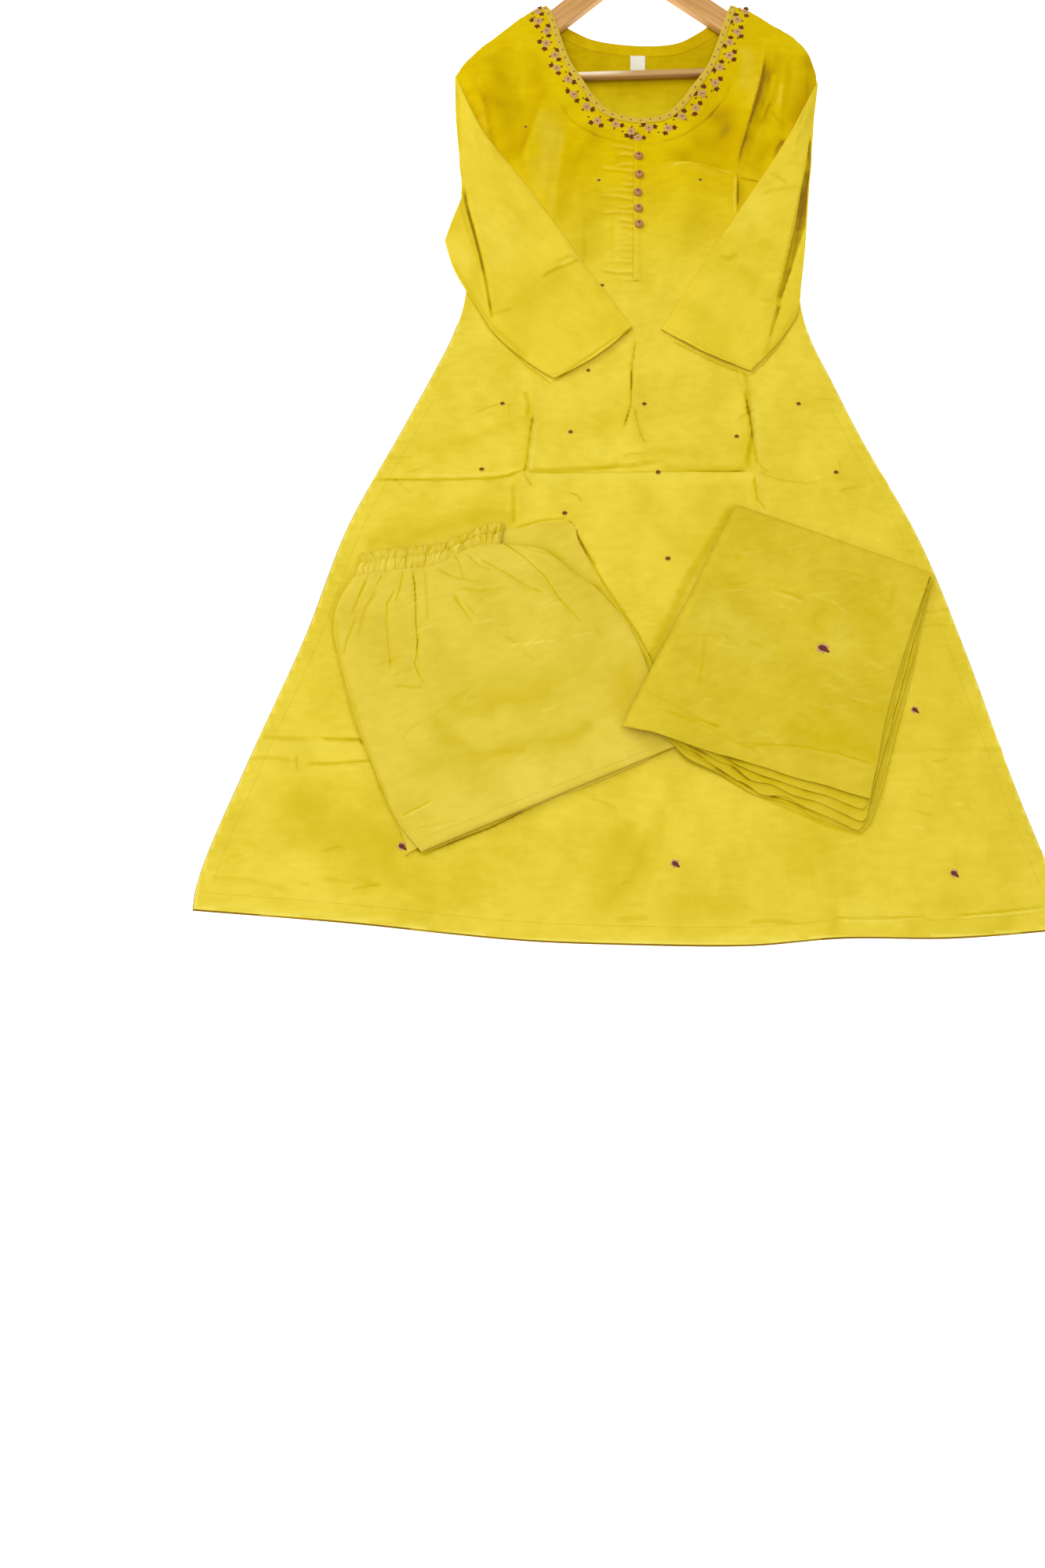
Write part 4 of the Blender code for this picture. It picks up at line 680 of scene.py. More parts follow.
front = {
    "columnPitch": 6.0,
    "rowPitch": 5.0,
    "wall": 1.2,
    "smoothing": 9,
    "slack": 1.0,
    "rimHighlight": 1.0,
    "lowest": 2.55,
    "overArms": 0.5,
    "armsAbove": 230,
    "armsWithin": 215,
    # how many, left, right, low, high, lean, seed
    "crinkles": (70, -390, 400, -640, -20, 0.0, 4),
    # height, width to the left of its run, width to the right, points
    "creases": (
        (1.7, 7, 10, ((-330, -146), (-221, -141), (-160, -139), (-129, -131), (-77, -128), (-31, -124),
            (-5, -117))),
        (1.0, 6, 12, ((-27, -123), (27, -126), (127, -126), (152, -124), (192, -134), (300, -128))),
        (2.2, 7, 7, ((-1, 60), (-1, 42), (-5, 15), (-5, -31), (-11, -63), (-16, -90))),
        (1.8, 7, 8, ((-5, -25), (2, -75), (11, -90), (14, -120))),
        (2.6, 6, 8, ((112, 14), (117, 5), (125, -23), (129, -56), (132, -84), (137, -110), (135, -136),
            (137, -161), (146, -190))),
        (-1.2, 9, 9, ((113, -10), (117, -50), (120, -96))),
        (2.2, 6, 8, ((-110, 8), (-116, -5), (-110, -22), (-115, -40), (-117, -59), (-120, -91), (-123, -131),
            (-134, -150), (-135, -200))),
        (-1.0, 9, 9, ((-126, -10), (-128, -60), (-132, -110))),
        (0.7, 8, 12, ((-117, -43), (-60, -42), (-9, -39))),
        (0.9, 10, 12, ((-215, -108), (-177, -88), (-151, -72), (-125, -62))),
        (0.8, 6, 8, ((-184, -56), (-157, -43))), (0.7, 5, 6, ((-146, -40), (-142, -62))),
        (0.8, 6, 7, ((-77, -152), (-62, -155), (-60, -166))), (0.7, 7, 9, ((10, -103), (70, -94))),
        (0.8, 6, 8, ((-144, -124), (-131, -123))), (0.9, 6, 8, ((-124, -139), (-112, -148))),
        (1.0, 6, 7, ((84, 17), (90, 6))), (1.0, 6, 7, ((224, -116), (234, -107))),
        (1.0, 7, 8, ((172, -132), (192, -136), (206, -131))),
        (1.9, 6, 9, ((-408, -451), (-386, -450), (-330, -449), (-281, -451))),
        (1.7, 6, 8, ((-410, -473), (-346, -477), (-311, -476), (-272, -473))),
        (0.8, 5, 6, ((-359, -466), (-358, -484))),
        (1.9, 6, 9, ((250, -452), (300, -448), (350, -446), (404, -443))),
        (1.3, 6, 8, ((360, -465), (404, -461))), (1.0, 9, 12, ((-334, -602), (-267, -602))),
        (0.8, 8, 10, ((-424, -604), (-386, -604))),
        (-1.1, 14, 22, ((24, -510), (17, -527), (2, -571), (-29, -619))),
        (1.3, 10, 16, ((36, -505), (30, -560), (10, -620))),
        (1.2, 12, 12, ((180, -548), (190, -590), (207, -632))),
        (0.9, 12, 14, ((-190, -548), (-180, -600), (-178, -628))), (0.7, 6, 8, ((118, -543), (150, -544))),
        (0.8, 8, 14, ((60, -632), (150, -628), (178, -634))),
        (1.4, 6, 9, ((-61, 276), (-50, 266), (-38, 256))), (1.3, 5, 6, ((-26, 303), (-2, 294))),
        (0.9, 5, 6, ((-24, 229), (-4, 230))), (0.8, 5, 6, ((-25, 221), (-4, 222))),
        (0.9, 5, 6, ((-26, 182), (-4, 183))), (0.8, 5, 6, ((-24, 141), (-4, 142))),
        (0.8, 5, 6, ((-25, 125), (-4, 126))), (0.8, 5, 6, ((-23, 104), (-4, 104))),
        (0.9, 5, 7, ((22, 121), (22, 65))),
        (1.9, 8, 11, ((10, 277), (42, 285), (66, 283), (87, 276), (114, 268))),
        (1.5, 6, 8, ((119, 263), (145, 256))),
        (2.8, 7, 13, ((150, 445), (149, 377), (130, 325), (119, 269), (118, 222))),
        (-1.8, 10, 9, ((163, 440), (162, 380), (146, 320), (134, 282))),
        (2.2, 7, 10, ((186, 419), (180, 342))), (-2.4, 10, 12, ((-191, 400), (-186, 358), (-175, 306))),
        (-2.0, 16, 16, ((-184, 408), (-165, 396), (-150, 386))),
        (-2.2, 8, 10, ((-138, 400), (-138, 377), (-137, 345))),
        (2.6, 9, 11, ((-117, 352), (-137, 288), (-129, 258))),
        (-2.6, 10, 11, ((-86, 326), (-96, 236), (-99, 200))),
        (1.6, 9, 12, ((-66, 300), (-74, 240), (-78, 190))), (1.6, 5, 6, ((-150, 456), (-150, 430))),
        (1.6, 5, 6, ((-136, 452), (-136, 430))),
    ),
    # painted shade (+) or painted highlight (-) strokes: how deep, width at its start, width at its end,
    # softness, points
    "tones": (
        (0.1, 3, 2, 3.4, ((-170, 354), (-163, 352), (-156, 355))),
        (0.36, 3, 2.4, 3.4, ((-179, 323), (-175, 312), (-171, 301))),
        (0.3, 2, 1.5, 2, ((-214, 377), (-213, 361))), (0.14, 2, 2, 2.5, ((-62, 206), (-62, 144))),
        (0.14, 2, 2, 2.5, ((-29, 207), (-28, 145))),
        (0.5, 1.2, 1.2, 0.9, ((-218, 136), (-197, 101), (-170, 52), (-126, 6), (-97, -17))),
        (0.3, 2.2, 2, 1.4, ((152, 423), (148, 395), (141, 363), (132, 332), (124, 301), (119, 274))),
        (0.5, 2.6, 2, 3.4, ((176, 318), (168, 306), (164, 292))),
        (0.3, 1.6, 1, 1.5, ((159, 364), (148, 339))), (0.3, 1.6, 1, 1.5, ((161, 353), (169, 342))),
        (-0.35, 3, 2, 2, ((164, 398), (157, 370), (148, 342))), (-0.3, 2.5, 2, 2, ((172, 386), (169, 361))),
        (-0.5, 1.3, 1, 1, ((43, 282), (59, 284), (77, 281), (95, 275), (113, 269))),
        (0.4, 1.3, 1.2, 1.2, ((119, 268), (119, 249), (119, 231), (120, 212))),
        (-0.45, 1.3, 1.1, 1.1, ((116, 261), (115, 237), (116, 216))),
        (0.5, 1.7, 1, 1.2, ((121, 261), (131, 260), (145, 259))),
        (0.5, 1.3, 1.2, 0.9, ((187, 81), (163, 37), (147, 17), (130, -1))),
        (0.5, 1.4, 1.2, 1, ((129, -1), (115, 5), (93, 14), (43, 41))),
        (0.45, 1.2, 1, 0.9, ((-95, -14), (-76, -1), (-52, 18), (-27, 38), (-5, 56))),
        (0.5, 1.3, 1.2, 1, ((-1, 39), (-3, 25), (-5, 11), (-5, -23))),
        (0.5, 1.6, 1.6, 1.3, ((-287, -143), (-226, -142), (-161, -139), (-142, -135), (-130, -129))),
        (-0.4, 2, 2, 1.3, ((-245, -137), (-190, -135), (-153, -132), (-133, -126))),
        (0.36, 3, 3, 3, ((-124, -128), (-80, -126), (-43, -123), (-7, -118), (23, -112))),
        (0.3, 3, 3, 3, ((30, -120), (67, -121), (122, -120))),
        (0.45, 1.2, 1.2, 1, ((-120, -131), (-43, -128), (30, -125), (125, -122))),
        (0.55, 1.6, 1.4, 1, ((-117, -59), (-121, -90), (-122, -111), (-125, -131))),
        (-0.35, 2, 2, 1.5, ((-112, -65), (-116, -102), (-118, -127))),
        (0.35, 2, 2, 2, ((-127, -28), (-122, -45), (-124, -57))),
        (0.35, 1.1, 0.9, 0.9, ((-180, -54), (-167, -48), (-154, -43))),
        (0.25, 1.1, 0.9, 1, ((-145, -43), (-144, -60))), (0.5, 1.5, 1, 1, ((-125, -134), (-117, -146))),
        (0.65, 1.4, 1.2, 0.9, ((-6, 0), (-6, -25), (-6, -42), (-11, -61), (-13, -69))),
        (0.55, 1.3, 1, 1, ((-2, -46), (2, -67), (6, -81), (11, -90))),
        (0.42, 3, 3, 2.5, ((124, 3), (127, -22), (128, -47), (132, -72), (127, -97), (129, -121))),
        (0.4, 1.2, 1.2, 1, ((123, -22), (129, -55), (132, -84), (136, -112), (150, -124))),
        (-0.3, 3, 3, 2, ((137, -34), (137, -68), (139, -100))),
        (0.42, 1.4, 1.2, 1, ((132, -130), (136, -157), (145, -167))),
        (0.32, 1.6, 1.2, 1.5, ((140, -125), (162, -132), (191, -136))),
        (-0.4, 1.2, 1, 1, ((189, -133), (209, -128))), (0.35, 1.2, 1, 1, ((229, -109), (230, -118))),
        (0.5, 1.3, 1, 0.8, ((-74, -153), (-65, -156), (-61, -163))),
        (0.2, 2, 2, 2, ((-138, -144), (-135, -191))),
        (0.4, 1.6, 1.2, 1.5, ((-132, -197), (-108, -188), (-79, -184))),
        (0.45, 2, 1.6, 1.5, ((-75, -186), (-64, -206), (-44, -240))),
        (0.36, 4, 7, 3, ((107, -166), (92, -194), (75, -226))),
        (0.25, 5, 3, 3, ((-313, -259), (-321, -277), (-328, -296), (-331, -313))),
        (0.3, 1.6, 1.3, 1.4, ((-331, -313), (-326, -345), (-315, -382), (-303, -423), (-289, -457),
            (-280, -474), (-263, -516), (-247, -546))),
        (0.55, 1.6, 1.6, 1.3, ((-72, -188), (-57, -221), (-36, -259), (-16, -291), (2, -318), (18, -351))),
        (0.75, 1.3, 1.7, 0.9, ((-219, -572), (-184, -556), (-151, -542), (-95, -511), (-30, -478),
            (26, -456))),
        (0.55, 2, 2, 1.6, ((-245, -548), (-236, -557), (-222, -571))),
        (0.36, 6, 9, 3, ((72, -230), (57, -256), (35, -309), (4, -380))),
        (0.45, 1.3, 1.3, 1, ((9, -464), (26, -456), (41, -450))),
        (0.4, 1.6, 2, 1.4, ((43, -451), (58, -464), (90, -478), (112, -490), (136, -502), (179, -520),
            (203, -531), (237, -540))),
        (0.35, 1.6, 2.2, 1.6, ((295, -369), (286, -409), (274, -448), (263, -491), (249, -527), (238, -540))),
        (0.26, 2.2, 2.2, 2.6, ((-396, -448), (-373, -450), (-351, -450))),
        (0.4, 2, 2, 2.2, ((-332, -448), (-312, -449), (-295, -448), (-289, -453))),
        (0.2, 2, 2, 2.6, ((-407, -471), (-383, -471), (-366, -473))),
        (0.34, 1.8, 1.4, 2, ((-349, -477), (-327, -476), (-305, -474), (-281, -471))),
        (0.4, 1.4, 1.2, 1, ((-360, -466), (-358, -482))),
        (0.16, 2.5, 2, 3, ((-322, -602), (-303, -602), (-281, -603), (-265, -607))),
        (0.2, 1.6, 1, 2, ((-422, -579), (-409, -577))),
        (0.12, 2.4, 2, 3, ((-440, -603), (-401, -605), (-365, -612))),
        (-0.3, 3, 3, 2, ((-443, -631), (-372, -636), (-290, -641), (-209, -647))),
        (0.2, 2.5, 2, 3, ((-17, -636), (15, -634))),
        (0.24, 2.2, 1.8, 2.6, ((121, -636), (139, -634), (164, -635))),
        (0.32, 1.4, 1.4, 1.2, ((211, -629), (258, -628), (302, -626))),
        (-0.4, 1.4, 1.4, 1.2, ((214, -631), (258, -631), (298, -628))),
        (0.3, 1.4, 1.4, 1.2, ((336, -624), (383, -618), (424, -613))),
        (-0.4, 1.3, 1.3, 1.1, ((336, -626), (383, -621), (424, -615))),
        (-0.3, 4, 4, 3, ((-23, -655), (40, -656), (117, -654), (170, -650))),
        (0.34, 1.3, 1.3, 1.4, ((111, 387), (104, 370), (89, 353), (73, 337), (57, 325), (44, 318),
            (28, 314))),
        (0.34, 1.3, 1.3, 1.4, ((-93, 355), (-79, 340), (-64, 329), (-47, 319), (-27, 314), (-13, 310))),
    ),
    # soft swells of painted shade (+) or painted highlight (-): how deep, width to the left, width to the
    # right, points
    "swells": (
        (-0.2, 8.1, 8.1, ((-117, -137), (-43, -134), (30, -131), (129, -131))),
        (0.16, 6.8, 6.8, ((-44, -119), (-7, -108), (30, -99), (67, -100))),
        (0.15, 8.8, 8.8, ((-122, -64), (-155, -79), (-191, -92), (-217, -105))),
        (0.15, 14.3, 14.3, ((-37, -62), (-16, -52))), (-0.17, 12.7, 12.7, ((-47, -98), (-11, -108))),
        (0.11, 15, 15, ((-111, -78), (-74, -79), (-48, -68))),
        (0.17, 10.4, 10.4, ((122, -76), (120, -97), (122, -116))),
        (0.27, 15, 15, ((-288, -223), (-242, -208), (-206, -195), (-170, -182), (-145, -183))),
        (0.09, 29.2, 29.2, ((88, -154), (77, -194), (59, -226))), (0.1, 26, 26, ((88, -138), (103, -146))),
        (-0.17, 11.1, 11.1, ((-401, -461), (-356, -460), (-289, -460))),
        (0.18, 20.2, 20.2, ((-358, -522), (-344, -523))),
        (0.13, 33.1, 33.1, ((-339, -553), (-301, -549), (-267, -565))),
        (0.15, 32.5, 32.5, ((-244, -582), (-224, -603))), (0.1, 19.5, 19.5, ((-412, -538), (-410, -555))),
        (-0.15, 23.4, 23.4, ((-392, -537), (-367, -585))), (-0.15, 13, 13, ((-337, -623), (-302, -627))),
        (0.23, 21.4, 21.4, ((0, -552), (-4, -578), (-14, -601), (-23, -617))),
        (0.11, 16.2, 16.2, ((40, -622), (77, -623), (108, -627))),
        (0.17, 7.8, 7.8, ((201, -593), (206, -627), (207, -646))),
        (-0.17, 13, 13, ((224, -618), (246, -622))), (0.12, 27.3, 27.3, ((340, -602), (371, -601))),
        (0.16, 9.8, 9.8, ((370, -635), (388, -631))), (0.1, 36.4, 36.4, ((178, -561), (172, -587))),
        (0.62, 15, 1, ((155, 446), (153, 428), (149, 400), (142, 369), (132, 330), (122, 294), (118, 267))),
        (0.34, 4, 1, ((154, 443), (149, 400), (142, 369), (132, 330))),
        (-0.25, 0.8, 9, ((155, 446), (153, 428), (149, 400), (142, 369), (132, 330))),
        (0.36, 4, 2.5, ((185, 435), (180, 407), (177, 379), (174, 355), (170, 325))),
        (0.32, 6, 6, ((174, 337), (170, 316))), (0.4, 11, 11, ((155, 304), (144, 277))),
        (0.3, 9, 9, ((165, 422), (160, 385), (153, 345))),
        (0.62, 8, 8, ((208, 429), (209, 408), (202, 377), (190, 349))),
        (0.5, 19, 19, ((103, 341), (101, 323), (95, 308))),
        (0.34, 15, 0.8, ((28, 284), (43, 286), (59, 286), (76, 279), (101, 270), (118, 267))),
        (0.4, 9, 0.7, ((119, 264), (118, 238), (119, 217))), (0.26, 24, 24, ((87, 399), (82, 371))),
        (0.3, 12, 12, ((76, 317), (59, 301))), (0.2, 18, 18, ((73, 205), (58, 176))),
        (-0.2, 9, 9, ((129, 427), (128, 387))), (0.46, 17, 17, ((-166, 404), (-165, 381), (-171, 357))),
        (0.42, 3.6, 1.4, ((-203, 387), (-187, 361), (-181, 338), (-176, 312))),
        (0.36, 14, 14, ((-150, 350), (-154, 320), (-151, 294))),
        (0.3, 1.6, 14, ((-110, 374), (-127, 328), (-138, 294), (-141, 271))),
        (-0.2, 16, 16, ((-104, 325), (-107, 287), (-113, 261))),
        (0.34, 15, 15, ((-50, 319), (-64, 292), (-78, 266))),
        (0.42, 4, 9, ((-83, 254), (-86, 221), (-90, 192))),
        (0.3, 8, 8, ((-129, 424), (-125, 393), (-116, 366))), (0.22, 20, 20, ((-45, 215), (-57, 156))),
        (-0.2, 12, 12, ((-26, 201), (-26, 157))), (0.06, 30, 30, ((-12, -190), (-12, -215))),
        (0.07, 60, 60, ((-300, -560), (0, -590), (300, -560))),
        (0.1, 60, 60, ((240, -90), (300, -300), (360, -480))), (0.12, 12, 12, ((112, 345), (118, 310))),
    ),
}


panel = {"left": -456, "right": 456, "bottom": -662, "top": 506, "freeBelow": 60}


def panelOutline(neck):
    # the outline of the front or the back, all round from the hem's left end
    outline = []
    for x in np.linspace(panel["left"], panel["right"], 150):
        outline.append((x, smoothRead(hemLine, 1, x)))
    for y in np.linspace(-633, 402, 190)[1:]:
        outline.append((smoothRead(bodySides, 2, y), y))
    for x in np.linspace(217, 113, 26)[1:]:
        outline.append((x, smoothRead(shoulderRight, 1, x)))
    for x, y in reversed(samplePath(neck, 4.0)[1:-1]):
        outline.append((x, y))
    for x in np.linspace(-113, -222, 26):
        outline.append((x, smoothRead(shoulderLeft, 1, x)))
    for y in np.linspace(397, -636, 190)[1:-1]:
        outline.append((smoothRead(bodySides, 1, y), y))
    return outline


def gatherTones():
    # painted shade beside a painted highlight for short soft pleats that run out sideways from the placket,
    # no two alike
    chance = random.Random(11)
    rows = []
    for k in range(19):
        y = 300 - 9.9 * k + chance.uniform(-3.0, 3.0)
        reach = chance.uniform(12, 38)
        drift = chance.uniform(-3.0, 4.0)
        bend = chance.uniform(-2.0, 2.0)
        amount = chance.uniform(0.12, 0.34)
        path = ((-4 - reach, y + drift), (-4 - 0.5 * reach, y + 0.6 * drift + bend), (-4, y))
        rows.append((amount, 1.0, 2.4, 2.6, path))
        rows.append((-amount, 1.0, 2.0, 2.2, tuple((px, py + 3.1) for px, py in path)))
    return tuple(rows)


def crinkleTones(count, left, right, low, high, lean, seed):
    # painted shade and painted highlight strokes for faint pressed-in crinkles scattered over a length of
    # cloth, most of them along one thread
    chance = random.Random(seed)
    rows = []
    for _ in range(count):
        x, y = chance.uniform(left, right), chance.uniform(low, high)
        reach = chance.uniform(8, 30)
        way = math.radians(lean + chance.gauss(0, 16))
        dx, dy = reach * math.cos(way) / 2, reach * math.sin(way) / 2
        bend = chance.uniform(-2.0, 2.0)
        path = ((x - dx, y - dy), (x - 0.1 * dy, y + bend), (x + dx, y + dy))
        rows.append((chance.choice((-0.22, -0.14, 0.1, 0.16, 0.22)), 1.6, 1.0, 1.6, path))
    return tuple(rows)


def cutPanel(neck, settings, finerRows=()):
    columns = evenLines(panel["left"], panel["right"], settings["columnPitch"])
    rows = sorted({*evenLines(panel["bottom"], panel["top"], settings["rowPitch"]), *finerRows})
    return cutSheet(panelOutline(neck), columns, rows)


def clearArms(bm):
    # the front stays above the hanger's arms, and as high just beside them
    arms = nodeTree("hanger_arms")
    for vertex in bm.verts:
        x, y = vertex.co.xy
        vertex.co.z = max(vertex.co.z, front["lowest"])
        if y > front["armsAbove"] and abs(x) < front["armsWithin"]:
            highest = -1.0
            for dx, dy in ((0, 0), (5, 0), (-5, 0), (0, 5), (0, -5)):
                hit = hitFrom(arms, x + dx, y + dy, 200)
                if hit:
                    highest = max(highest, hit.z)
            vertex.co.z = max(vertex.co.z, highest + front["wall"] + front["overArms"])


def makeFront():
    bm = cutPanel(neckFront, front)
    gathers = gatherTones() + crinkleTones(*front["crinkles"])
    thin = [tone[4] for tone in front["tones"] + gathers if tone[1] < 2.7]
    refineNear(bm, [crease[3] for crease in front["creases"]] + thin, 5.5)
    refineNear(bm, thin, 2.2)
    layOn(bm, "kurta_front", front["smoothing"])
    lyingOn = [nodeTree(name) for name in ("sleeve_left", "sleeve_right", "trouser_folds", "dupatta_folds")]
    places = flatPlaces(bm)
    folds = creaseHeights(places, front["creases"])
    for vertex, fold in zip(bm.verts, folds):
        x, y = vertex.co.xy
        loose = 1.0 + 0.9 * ease((y - 60) / 160)
        rise = fold + front["slack"] * loose * (ripple(x, y, 105, 3.1) * 0.65 + ripple(x, y, 42, 7.7) * 0.35)
        covered = any(hitFrom(one, x, y, -5) for one in lyingOn)
        vertex.co.z += min(rise, 0.3) if covered else rise
    smoothHeights(bm, 1)
    clearArms(bm)
    smoothHeights(bm, 1, 0.3)
    paintTones(bm, places, front["tones"] + gathers, front["swells"], front["creases"], 0.06)
    # a painted highlight all along the lower edges, as on a turned edge that catches the light
    paintedHighlight = bm.verts.layers.float["paintedHighlight"]
    for vertex in bm.verts:
        if vertex.is_boundary and vertex.co.y < panel["freeBelow"]:
            vertex[paintedHighlight] = front["rimHighlight"]
    area = sheetArea(bm)
    surface = BVHTree.FromBMesh(bm)
    piece = addPiece("kurtaFront", bm, finishes["front"], ("kurta_front",),
                     wall=front["wall"])
    return surface


frontSurface = makeFront()
print("kurta front laid")


back = {
    "columnPitch": 11.0,
    "rowPitch": 11.0,
    "neckPitch": 5.0,
    "wall": 1.15,
    "smoothing": 3,
    "lowest": 1.2,
    "shadowLineAside": 1.1,
    "shadowLineBelow": 1.6,
}


def makeBack():
    bm = cutPanel(neckBack, back, evenLines(395, 500, back["neckPitch"]))
    layOn(bm, "kurta_back", back["smoothing"])
    shade = bm.verts.layers.float.new("shade")
    for vertex in bm.verts:
        vertex.co.z = max(vertex.co.z, back["lowest"])
        if vertex.is_boundary and vertex.co.y < panel["freeBelow"]:
            # the back's edge is pushed out a little and painted in full shade: a painted contact shadow all
            # along under the front's lower edges
            vertex[shade] = 1.0
            if abs(vertex.co.x) > 190:
                vertex.co.x += math.copysign(back["shadowLineAside"], vertex.co.x)
            if vertex.co.y < -600:
                vertex.co.y -= back["shadowLineBelow"]
    area = sheetArea(bm)
    surface = BVHTree.FromBMesh(bm)
    piece = addPiece("kurtaBack", bm, finishes["back"], ("kurta_back",), wall=back["wall"])
    return surface


backSurface = makeBack()
print("kurta back laid")


sleeve = {
    "around": 78,
    "along": 190,
    "wall": 1.0,
    "edge": 2.4,
    "inset": 3.0,
    "fade": 7.0,
    "deepest": -2.6,
    # where the cuff gapes: x, y, height, reach
    "leftGapes": ((-40, 22, 1.6, 14), (-62, 8, 1.0, 12), (-20, 42, 1.2, 12)),
    "rightGapes": ((60, 36, 1.0, 12), (89, 20, 1.6, 10), (106, 12, 1.6, 9)),
    "leftCreases": (
        (-3.0, 3.5, 8, ((-206, 246), (-205, 234), (-198, 195), (-184, 146), (-175, 105), (-170, 66))),
        (2.0, 8, 6, ((-199, 246), (-197, 234), (-190, 195), (-177, 146), (-168, 105), (-163, 66))),
        (1.6, 5, 7, ((-166, 68), (-145, 74))),
        (2.0, 7, 8, ((-122, 96), (-113, 114), (-95, 126), (-66, 139))),
        (1.6, 6, 7, ((-94, 145), (-68, 149))), (-1.4, 9, 10, ((-108, 100), (-84, 112), (-56, 118))),
        (-1.2, 9, 9, ((-207, 300), (-200, 262), (-196, 236))),
        (1.2, 10, 14, ((-180, 250), (-150, 190), (-128, 130))),
        (-0.9, 12, 14, ((-150, 250), (-120, 190), (-92, 150))),
        (0.9, 8, 10, ((-104, 60), (-84, 46), (-60, 44))),
    ),
    # how far the outer edge turns in along the armhole, as a share of the bow
    "leftNotch": ((0, 0), (0.21, 0.22), (0.45, 0.75), (0.61, 1.18), (0.677, 1.44), (0.72, 1.3),
                  (0.865, 0.57), (1, 0)),
    "rightNotch": None,
    # painted shade (+) or painted highlight (-) strokes: how deep, width at its start, width at its end,
    # softness, points; the swells are soft patches of the same
    "leftTones": (
        (0.6, 2.2, 1.8, 1.8, ((-206, 239), (-203, 218), (-198, 201), (-191, 177), (-185, 153), (-179, 127),
            (-174, 101), (-170, 81), (-168, 67))),
        (0.4, 8, 2.5, 3.2, ((-207, 230), (-203, 206), (-196, 180), (-188, 153), (-180, 124))),
        (0.26, 2, 1.4, 2, ((-168, 69), (-156, 72), (-146, 76))),
        (0.4, 2.6, 1.3, 2.5, ((-109, 119), (-94, 129), (-79, 137), (-69, 142))),
        (0.3, 2.4, 1.6, 2.4, ((-94, 139), (-79, 146), (-71, 143))),
        (-0.4, 2, 1.6, 2.2, ((-89, 136), (-74, 144))),
        (0.45, 1, 1, 0.9, ((-92, -12), (-52, 19), (-27, 40), (-7, 55))),
        (0.22, 3, 3, 3, ((-220, 142), (-197, 105), (-170, 58), (-127, 14))),
        (0.2, 3, 2, 3, ((-219, 368), (-218, 340), (-212, 291))),
    ),
    "leftSwells": (
        (0.15, 17, 17, ((-123, 97), (-99, 119))), (0.15, 6.9, 6.9, ((-157, 219), (-136, 196))),
        (-0.26, 13.8, 13.8, ((-217, 159), (-203, 141))), (-0.21, 22.4, 22.4, ((-182, 201), (-155, 154))),
        (0.14, 12.6, 12.6, ((-153, 76), (-128, 79))), (0.07, 16, 16, ((-208, 215), (-205, 180))),
    ),
    "rightCreases": (
        (-2.6, 4, 8, ((210, 306), (197, 241), (180, 148), (164, 96), (155, 50))),
        (1.4, 6, 8, ((147, 242), (166, 243), (193, 248))), (1.4, 6, 7, ((155, 268), (180, 250))),
        (-1.2, 8, 9, ((150, 222), (142, 196), (138, 168))),
        (1.2, 10, 12, ((120, 190), (112, 140), (100, 96))),
        (0.9, 10, 12, ((150, 170), (142, 120), (134, 84))), (-0.9, 9, 9, ((96, 110), (84, 80), (80, 52))),
        (1.1, 6, 8, ((132, 30), (146, 42), (160, 62))),
    ),
    # painted shade (+) or painted highlight (-) strokes, with a deep painted shadow in the hollow of the fold
    "rightTones": (
        (0.86, 1.5, 11, 1, ((207, 318), (204, 283), (198, 246), (192, 198))),
        (0.7, 11, 5.5, 1, ((192, 198), (183, 165), (173, 127), (164, 96))),
        (0.6, 4.5, 1, 1, ((165, 90), (160, 72), (153, 48))),
        (0.35, 1, 0.8, 0.8, ((208, 323), (200, 283), (193, 246), (183, 198), (176, 165), (167, 127),
            (159, 95))),
        (0.36, 1.8, 1.2, 2, ((157, 266), (167, 259), (176, 253))),
        (0.3, 1.8, 1.2, 2, ((148, 238), (165, 243), (180, 247), (194, 248))),
        (0.28, 2, 1.5, 2, ((144, 94), (158, 93))), (0.75, 3, 2, 1.2, ((115, 6), (120, 3))),
        (0.6, 1.1, 1.1, 0.9, ((80, 22), (93, 16), (113, 8))),
        (0.3, 2.5, 2, 2.5, ((117, 155), (107, 149), (99, 152))), (0.25, 2, 2, 2.5, ((130, 191), (138, 200))),
        (0.2, 3, 3, 3, ((184, 81), (161, 41), (143, 21))),
    ),
    "rightSwells": (
        (0.27, 6.6, 6.6, ((145, 171), (151, 167))), (0.21, 13.2, 13.2, ((127, 126), (132, 115))),
        (0.17, 13.8, 13.8, ((94, 140), (96, 131))), (-0.21, 19, 19, ((141, 227), (120, 185))),
        (0.14, 9.8, 9.8, ((97, 175), (69, 133))), (0.09, 18, 18, ((124, 175), (122, 150))),
    ),
}


def sleevePlace(table, r, t, bow=clothBow, notch=None):
    # the place a share r across the sleeve and t down its length, and the sleeve's width there
    row = [smoothAlong(table, column, t) for column in range(6)]
    start, end = Vector(row[0:2]), Vector(row[2:4])
    width = (end - start).length
    side = Vector((end.y - start.y, start.x - end.x)) / width
    bend = smoothRead(notch, 1, r) if notch and t < 0.17 else 4 * r * (1 - r)
    return start.lerp(end, r) - side * row[bow] * bend, width


